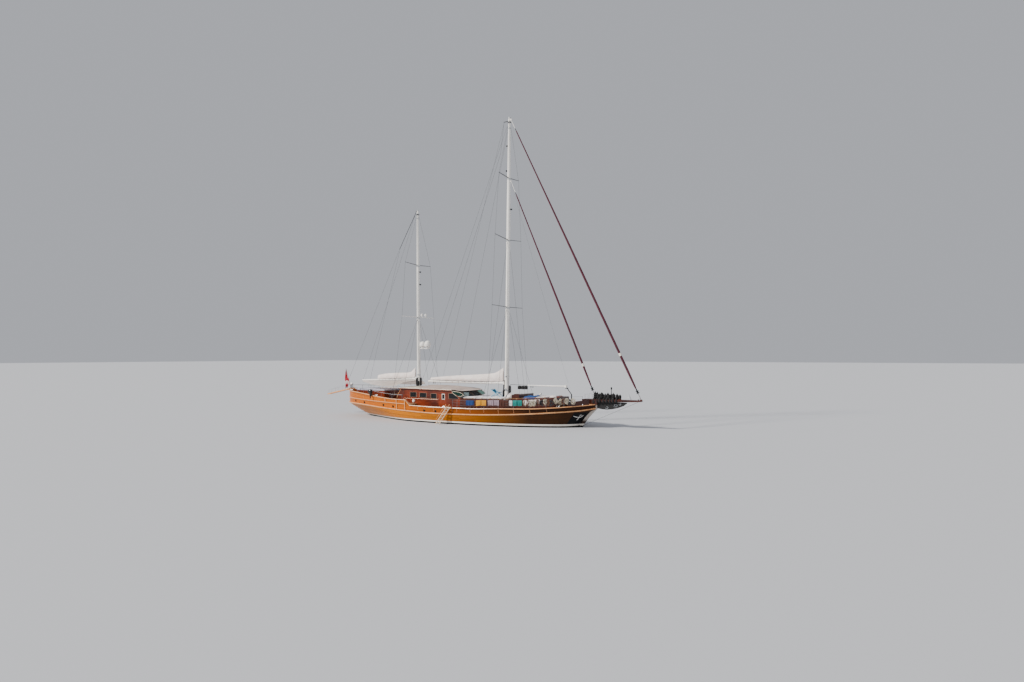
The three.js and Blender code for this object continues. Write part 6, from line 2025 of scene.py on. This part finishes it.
@dataclass
class HungCloths:
    """Towels and covers folded over the starboard lifelines."""

    rows: tuple = (
        ("cloth_blue", BLUE_COTTON, "blue_cloth", 1), ("cloth_yellow", YELLOW_COTTON, "yellow_cloth", 2),
        ("cloth_grey", GREY_COTTON, "grey_cloth", 2), ("cloth_teal", TEAL_COTTON, "teal_cloth", 2),
    )
    plain: tuple = (
        ("white_towel", WHITE_COTTON, "white_cloth", 7.7, 8.02, 0.5),
        ("rust_towel", BROWN_WOOL, "maroon_cloth", 6.85, 7.6, 0.55),
        ("pale_cover", CANVAS, "cream_cloth", 9.2, 10.5, 0.42),
    )

    def build(self) -> None:
        """Hangs each cloth."""
        for node, finish, slot, count in self.rows:
            skin = Skin(node)
            low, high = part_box(node)
            width = (high[0] - low[0] - 0.05 * (count - 1)) / count
            for k in range(count):
                x0 = low[0] + k * (width + 0.05)
                drop = high[2] - low[2] - 0.1
                self.hang(f"{node}_{k + 1}", finish, slot, skin, x0, x0 + width, drop, "" if k else node)
        line = Skin("lifelines_starboard")
        for name, finish, slot, x0, x1, drop in self.plain:
            self.hang(name, finish, slot, line, x0, x1, drop)

    def hang(
        self, name: str, finish: Finish, slot: str, skin: Skin, x0: float, x1: float, drop: float, node: str = ""
    ) -> None:
        """Folds one cloth over the top line.

        Args:
            name: Name of the cloth.
            finish: Its finish.
            slot: The record's material slot.
            skin: What shows where the top line is.
            x0: Its aft edge.
            x1: Its fore edge.
            drop: How far it hangs down outside.
            node: The CAD node that it stands for, if there is one.
        """
        tops = []
        for x in (x0 + 0.01, x1 - 0.01):
            near = min(abs(p.x - x) for p in skin.points) + 0.35
            close = [p for p in skin.points if abs(p.x - x) <= near]
            top = max(p.z for p in close)
            line = [p.y for p in close if p.z > top - 0.02]
            tops.append((sum(line) / len(line), top))
        grid = []
        for i in range(25):
            u = i / 24
            x = x0 + (x1 - x0) * u
            y, z = tops[0][0] * (1 - u) + tops[1][0] * u, tops[0][1] * (1 - u) + tops[1][1] * u
            row = []
            for j in range(23):
                t = (j - 12) / 12  # from -1, the hem outside, to 0 at the line, to the hem inside
                hang = abs(t) * drop
                fold = (0.016 * math.sin(u * 17 + 1.3 * x0) + 0.01 * math.sin(u * 31 + x0)) * min(1.0, abs(t) * 1.6)
                gap = -0.022 if t <= 0 else 0.03
                side = gap * min(1.0, abs(t) * 5)
                uneven = 0.02 * math.sin(u * 5 + x0) * abs(t)
                off = 0.012 if t <= 0 else -0.004
                row.append((x + 0.01 * fold, y + side + fold - off, z + 0.004 - hang + uneven))
            grid.append(row)
        lay_sheet(name, grid, finish, slot, node)


@dataclass
class BowFenders:
    """Fenders in knitted socks, stood on the bowsprit in a tray and lashed together."""

    rows: tuple = (
        # x, y, radius and height of the fenders that stand on the tray
        (14.9, 0.26, 0.15, 0.66), (14.88, -0.2, 0.14, 0.74), (15.2, -0.16, 0.13, 0.52), (15.45, 0.19, 0.16, 0.6),
        (15.5, -0.2, 0.15, 0.66), (15.86, -0.1, 0.13, 0.5), (16.0, 0.17, 0.15, 0.62), (16.2, -0.17, 0.15, 0.56),
        (16.62, 0.0, 0.17, 0.62), (16.98, -0.04, 0.14, 0.56), (17.22, 0.04, 0.13, 0.5),
    )
    hung: tuple = (
        # x, radius, height of the top and length of the fenders that hang beside the bowsprit
        (14.86, 0.13, 2.86, 0.58), (15.16, 0.12, 2.8, 0.46), (15.44, 0.14, 2.9, 0.56), (15.8, 0.12, 2.78, 0.44),
        (16.1, 0.13, 2.86, 0.5), (16.42, 0.12, 2.8, 0.44), (16.72, 0.13, 2.84, 0.46), (17.02, 0.11, 2.78, 0.38),
    )
    base: float = 2.655

    def build(self) -> None:
        """Makes the fenders, their tray and lashings."""
        socks, ropes = Form(), Form()
        for k, (x, y, r, h) in enumerate(self.rows):
            profile = [
                (r * 0.3, 0.0), (r * 0.75, 0.02), (r * 0.98, 0.1), (r, h * 0.5), (r * 0.97, h * 0.66),
                (r * 0.8, h * 0.78), (r * 0.5, h * 0.85), (r * 0.24, h * 0.89), (r * 0.2, h * 0.96), (r * 0.1, h),
            ]
            lean = (0.04 * math.sin(k * 2.1), 0.03 * math.cos(k * 1.7), 1.0)
            socks.turned(profile, (x, y, self.base), lean, 22)
            eye = Vector((x, y, self.base)) + Vector(lean).normalized() * (h - 0.03)
            turns = bearings(12, closed=True)
            ropes.tube([eye + Vector((0.03 * math.cos(a), 0, 0.028 * math.sin(a))) for a in turns], 0.008, 5)
        for k, (x, r, top, length) in enumerate(self.hung):
            for side in Side:
                y = side * (0.19 + r - 0.05 * (x - 14.8) / 2.2)
                socks.turned(
                    [[0.03, 0.0], [r * 0.7, 0.03], [r, 0.12], [r * 0.97, length * 0.6], [r * 0.6, length * 0.85],
                     [0.03, length]], (x + 0.04 * side, y, top - length), (0.05 * math.sin(k * 1.9), 0, 1), 18,
                )
                ropes.tube([(x, y, top - 0.02), (x, side * 0.1, 2.69)], 0.01, 5)
        for x, y, r in ((15.2, 0.0, 0.1), (15.75, 0.0, 0.11), (16.32, 0.0, 0.1)):
            profile = [(r * 0.3, 0), (r, 0.05), (r * 0.9, 0.4), (r * 0.4, 0.5), (0.02, 0.56)]
            socks.turned(profile, (x, y, self.base), (0.1, 0.05, 1), 16)
        socks.tube([(16.45, -0.1, 2.66), (16.45, -0.1, 3.3), (16.45, -0.1, 3.72)], [0.035, 0.035, 0.03], 10)
        knot = ((0.03, 0), (0.07, 0.04), (0.075, 0.16), (0.05, 0.22), (0, 0.24))
        socks.turned(knot, (16.45, -0.1, 3.56), sides=14)
        piece = socks.piece("fender_socks", SOCK, "black_plastic", smooth=60.0)
        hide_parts("covered_fenders")
        for z in (2.9, 3.08):
            loop = [(14.72, -0.3, z), (14.72, 0.42, z), (15.6, 0.37, z), (16.6, 0.2, z - 0.02), (17.32, 0.02, z - 0.06),
                    (16.6, -0.2, z - 0.02), (15.6, -0.37, z), (14.72, -0.42, z)]
            ropes.tube(loop, 0.01, 6)
        ropes.piece("fender_lashings", DARK_ROPE, "black_plastic")
        tray = Form()
        for k in range(9):
            x = 14.72 + 0.3 * k
            half = 0.39 if x < 15.0 else 0.165
            tray.block((x, -half, 2.652), (x + 0.24, half, 2.68), 0.006)
        tray.piece("fender_tray", MAHOGANY, "mahogany")
        gear = Form()
        gear.tube([(18.25, 0.0, 2.66), (18.2, 0.0, 2.95), (18.12, 0.0, 3.18)], [0.02, 0.018, 0.012])
        gear.tube([(18.02, -0.12, 2.7), (18.13, 0, 3.1), (18.3, 0.12, 2.7)], 0.012, 6)
        gear.turned([[0.05, 0], [0.06, 0.02], [0.06, 0.16], [0.03, 0.2], [0, 0.21]], (18.96, 0.1, 2.66), (0, 0, 1), 14)
        for s in Side:
            hoop = ((14.0, 0.49, 2.64), (14.0, 0.49, 3.1), (14.3, 0.47, 3.12), (14.3, 0.47, 2.64))
            gear.tube([(x, s * y, z) for x, y, z in hoop], 0.014)
        gear.piece("bowsprit_fittings", STAINLESS, "stainless")


@dataclass
class OutboardMotor:
    """A small outboard clamped to its bracket on the quarter: moulded cowling, leg, clamp and tiller."""

    x: float = -9.15
    y: float = -3.8

    def build(self) -> None:
        """Makes the motor and its bracket."""
        x, y = self.x, self.y
        cowl = Form()
        rings = []
        for z, sx, sy in ((2.745, 0.19, 0.15), (2.78, 0.235, 0.18), (2.85, 0.245, 0.19), (2.97, 0.24, 0.186),
                          (3.06, 0.225, 0.17), (3.1, 0.18, 0.13), (3.115, 0.1, 0.07)):
            rings.append([
                (x - 0.005 + sx * squared(math.cos(a)), y + 0.045 + sy * squared(math.sin(a)), z)
                for a in bearings(28)
            ])
        cowl.loft(rings)
        leg = [(2.16, 0.03, 0.05), (2.3, 0.035, 0.065), (2.5, 0.05, 0.075), (2.7, 0.08, 0.09), (2.78, 0.12, 0.12)]
        cowl.loft([
            [(x + 2 * sx * math.cos(a), y + 0.06 + sy * math.sin(a), z) for a in bearings(16)] for z, sx, sy in leg
        ])
        tiller = [(x + 0.1, y + 0.15, 2.74), (x + 0.2, y + 0.05, 2.7), (x + 0.22, y - 0.1, 2.68)]
        cowl.tube(tiller, [0.02, 0.018, 0.022], 10)
        motor = cowl.piece("outboard_cowling", COWLING, "black_plastic", smooth=50.0)
        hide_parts("outboard_motor")
        clamp = Form()
        _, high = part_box("outboard_motor")
        for jaw in (x - 0.12, x + 0.06):
            clamp.block((jaw, y + 0.1, 2.42), (jaw + 0.06, high[1] - 0.01, 2.66), 0.01)
        for k in (-0.09, 0.09):
            clamp.tube([(x + k, y + 0.08, 2.6), (x + k, high[1] - 0.02, 2.6)], 0.012)
        clamp.piece("outboard_clamp", IRON, "dark_iron")
        wood = Form().block((x - 0.14, y + 0.14, 2.44), (x + 0.14, y + 0.2, 2.7), 0.008)
        wood.piece("outboard_bracket_pad", TEAK, "teak")


@dataclass
class Boarding:
    """Handrails and treads of the boarding ladder and the passerelle."""

    def build(self) -> None:
        """Makes the ladder's and the passerelle's fittings."""
        rails, treads = Form(), Form()
        top, foot = Vector((1.3, -4.37, 1.66)), Vector((0.15, -4.74, -0.15))
        for side in (-0.21, 0.21):
            lift = Vector((side, -0.1, 0.3))
            line = [top + Vector((side, 0.0, 0.06)), top + lift, top.lerp(foot, 0.5) + lift, top.lerp(foot, 0.8) + lift,
                    top.lerp(foot, 0.86) + Vector((side, 0, 0.02))]
            rails.tube(line, 0.017)
            rails.tube([top.lerp(foot, 0.4) + Vector((side, 0, 0)), top.lerp(foot, 0.4) + lift], 0.012)
        for k in range(7):
            at = top.lerp(foot, (k + 0.7) / 7)
            treads.block(at + Vector((-0.18, -0.08, 0.015)), at + Vector((0.18, 0.04, 0.024)), 0.003)
        rails.piece("ladder_handrails", RAIL_ENAMEL, "rail_paint", "boarding_ladder")
        treads.piece("ladder_treads", TEAK, "teak", "boarding_ladder")
        slats, posts = Form(), Form()
        start, end = Vector((-15.2, 0, 2.965)), Vector((-18.75, 0, 2.2))
        turn = Matrix.Rotation(math.atan2(start.z - end.z, start.x - end.x) * -1, 3, "Y")
        for k in range(24):
            at = start.lerp(end, (k + 0.5) / 24)
            slats.block(at - Vector((0.055, 0.17, 0.006)), at + Vector((0.055, 0.17, 0.008)), 0.004, turn)
        for side in (-0.21, 0.21):
            tops = []
            for t in (0.03, 0.36, 0.68, 0.97):
                at = start.lerp(end, t) + Vector((0, side, 0))
                posts.tube([at, at + Vector((0.08, 0, 0.52))], 0.011)
                tops.append(at + Vector((0.08, 0, 0.51)))
            for a, b in zip(tops, tops[1:]):
                posts.tube(sagging(a, b, 0.03, 8), 0.008, 6)
        slats.piece("passerelle_slats", TEAK, "teak", "passerelle")
        posts.piece("passerelle_rails", STAINLESS, "stainless", "passerelle")


@dataclass
class Flag:
    """A plain red flag with a pale band, hanging limp from its staff, and the lamp beside it."""

    staff_foot: Point = (-14.975, -0.4, 2.87)
    staff_head: Point = (-15.75, -0.4, 5.11)
    bands: tuple = (
        # name, finish, slot, first and last row of the cloth
        ("ensign", RED_BUNTING, "maroon_cloth", 0, 20), ("ensign_band", PALE_BUNTING, "white_cloth", 20, 26),
        ("ensign_foot", RED_BUNTING, "maroon_cloth", 26, 32),
    )
    lamp: Point = (-14.35, -0.95, 2.98)

    def build(self) -> None:
        """Hangs the flag."""
        foot, head = Vector(self.staff_foot), Vector(self.staff_head)
        grid = []
        for i in range(33):
            t = i / 32
            z = 5.04 - 1.98 * t
            hoist = foot.lerp(head, min((z - foot.z) / (head.z - foot.z), 0.98))
            bell = math.sin(math.pi * min(1.0, 0.12 + 0.74 * t)) ** 1.3
            left, right = -15.7 - 0.27 * bell, -15.62 + 0.36 * bell
            if t < 0.5:
                right = min(right, hoist.x - 0.03)
            row = []
            for j in range(25):
                u = j / 24
                fold = math.sin(u * 17 + 2.5 * t) * (0.02 + 0.05 * t)
                droop = 0.09 * math.sin(u * 9) * t
                row.append((left + (right - left) * u, foot.y + fold, z - droop - 0.05 * u * (1 - t)))
            grid.append(row)
        for name, finish, slot, first, last in self.bands:
            rows = grid[first : last + 1]
            lay_sheet(name, rows, finish, slot)
        self.fittings(head)

    def fittings(self, head: Vector) -> None:
        """Tops the staff, and stands a lamp on its post beside it.

        Args:
            head: The top of the staff.
        """
        x, y, z = self.lamp
        post = Form().turned([(0.05, 0), (0.05, 0.34), (0.1, 0.36), (0.1, 0.42)], self.lamp, sides=16)
        post.piece("stern_lamp_post", IRON, "dark_iron")
        globe = Form()
        globe.turned([(0.1, 0), (0.15, 0.05), (0.15, 0.16), (0.1, 0.22), (0, 0.24)], (x, y, z + 0.41), sides=18)
        globe.piece("stern_lamp_globe", LAMP_GLASS, "white_paint")
        seat = head - Vector((0, 0, 0.02))
        ball = Form().turned([(0.016, 0), (0.035, 0.02), (0.035, 0.05), (0, 0.07)], seat, sides=14)
        ball.piece("flagstaff_truck", BRONZE, "bronze")


def main() -> None:
    """Builds every sub-assembly in order."""
    logging.basicConfig(level=logging.INFO, format="%(message)s")
    Studio().build()
    Solids().dress()
    masts = (
        Spar(
            "main_mast", (5.33, 2.47), (5.64, 30.5), (0.22, 0.2, 0.12), (3.2, 11.4, 18.1, 24.3, 29.4),
            ((27.66, -1), (25.16, -1), (21.24, 1)), ((-1, 3.35), (1, 3.35), (-1, 4.6), (1, 4.6)),
            ((5.04, 0.0, 2.42, 4.22), (5.02, -0.1, 2.5, 3.3), (5.64, 0.0, 2.95, 3.7)),
            ((11.3, 4.7, 3.98, 1.75), (11.3, 6.45, 3.9, 1.79), (18.0, 5.3, 3.96, 1.76)),
        ),
        Spar(
            "mizzen_mast", (-5.62, 3.4), (-5.85, 22.4), (0.19, 0.165, 0.1), (4.6, 10.7, 16.3, 21.5),
            ((14.31, 1), (15.66, 1)), ((-1, 4.3), (1, 4.3)),
            ((-5.72, -0.23, 3.42, 4.25), (-5.4, 0.0, 3.45, 4.3), (-5.58, -0.25, 3.42, 3.95)),
            ((10.6, -6.75, 3.52, 2.3), (10.6, -4.95, 3.72, 2.2)), ((0.62, 10.87), (1.28, 10.87)),
        ),
    )
    sails = (
        FurledSail("furled_jib", (18.96, 3.28), (6.27, 29.3), 0.112, 6.76),
        FurledSail("furled_staysail", (14.58, 3.45), (6.3, 22.9), 0.098, 5.79),
    )
    covers = (
        SailCover(
            "main_sail_cover",
            ((4.94, 5.45, 0.1, 0.13), (4.78, 5.37, 0.12, 0.0), (4.3, 5.08, 0.17, 0.0), (3.84, 4.91, 0.23, 0.0),
             (1.8, 4.75, 0.3, 0.0), (-1.5, 4.55, 0.27, 0.0), (-4.0, 4.33, 0.15, 0.0)),
            (4.94, 3.93, -4.33, 3.95, 0.13), "main_boom",
        ),
        SailCover(
            "mizzen_sail_cover",
            ((-6.1, 5.34, 0.09, 0.13), (-6.27, 5.24, 0.11, 0.0), (-6.75, 4.89, 0.17, 0.0), (-8.5, 4.78, 0.23, 0.0),
             (-10.0, 4.7, 0.2, 0.0), (-11.3, 4.5, 0.12, 0.0)),
            (-6.11, 4.18, -13.6, 3.88, 0.105), "mizzen_boom", 100,
        ),
    )
    assemblies = (
        HullTrim(), DeckGear(), DeckhouseTrim(), *masts, RunningRigging(), *sails, *covers, Awnings(), Upholstery(),
        DeckChair(), HungCloths(), BowFenders(), OutboardMotor(), Boarding(), Flag(),
    )
    for assembly in assemblies:
        assembly.build()
        LOG.info("built %s", type(assembly).__name__)


if __name__ == "__main__":
    main()
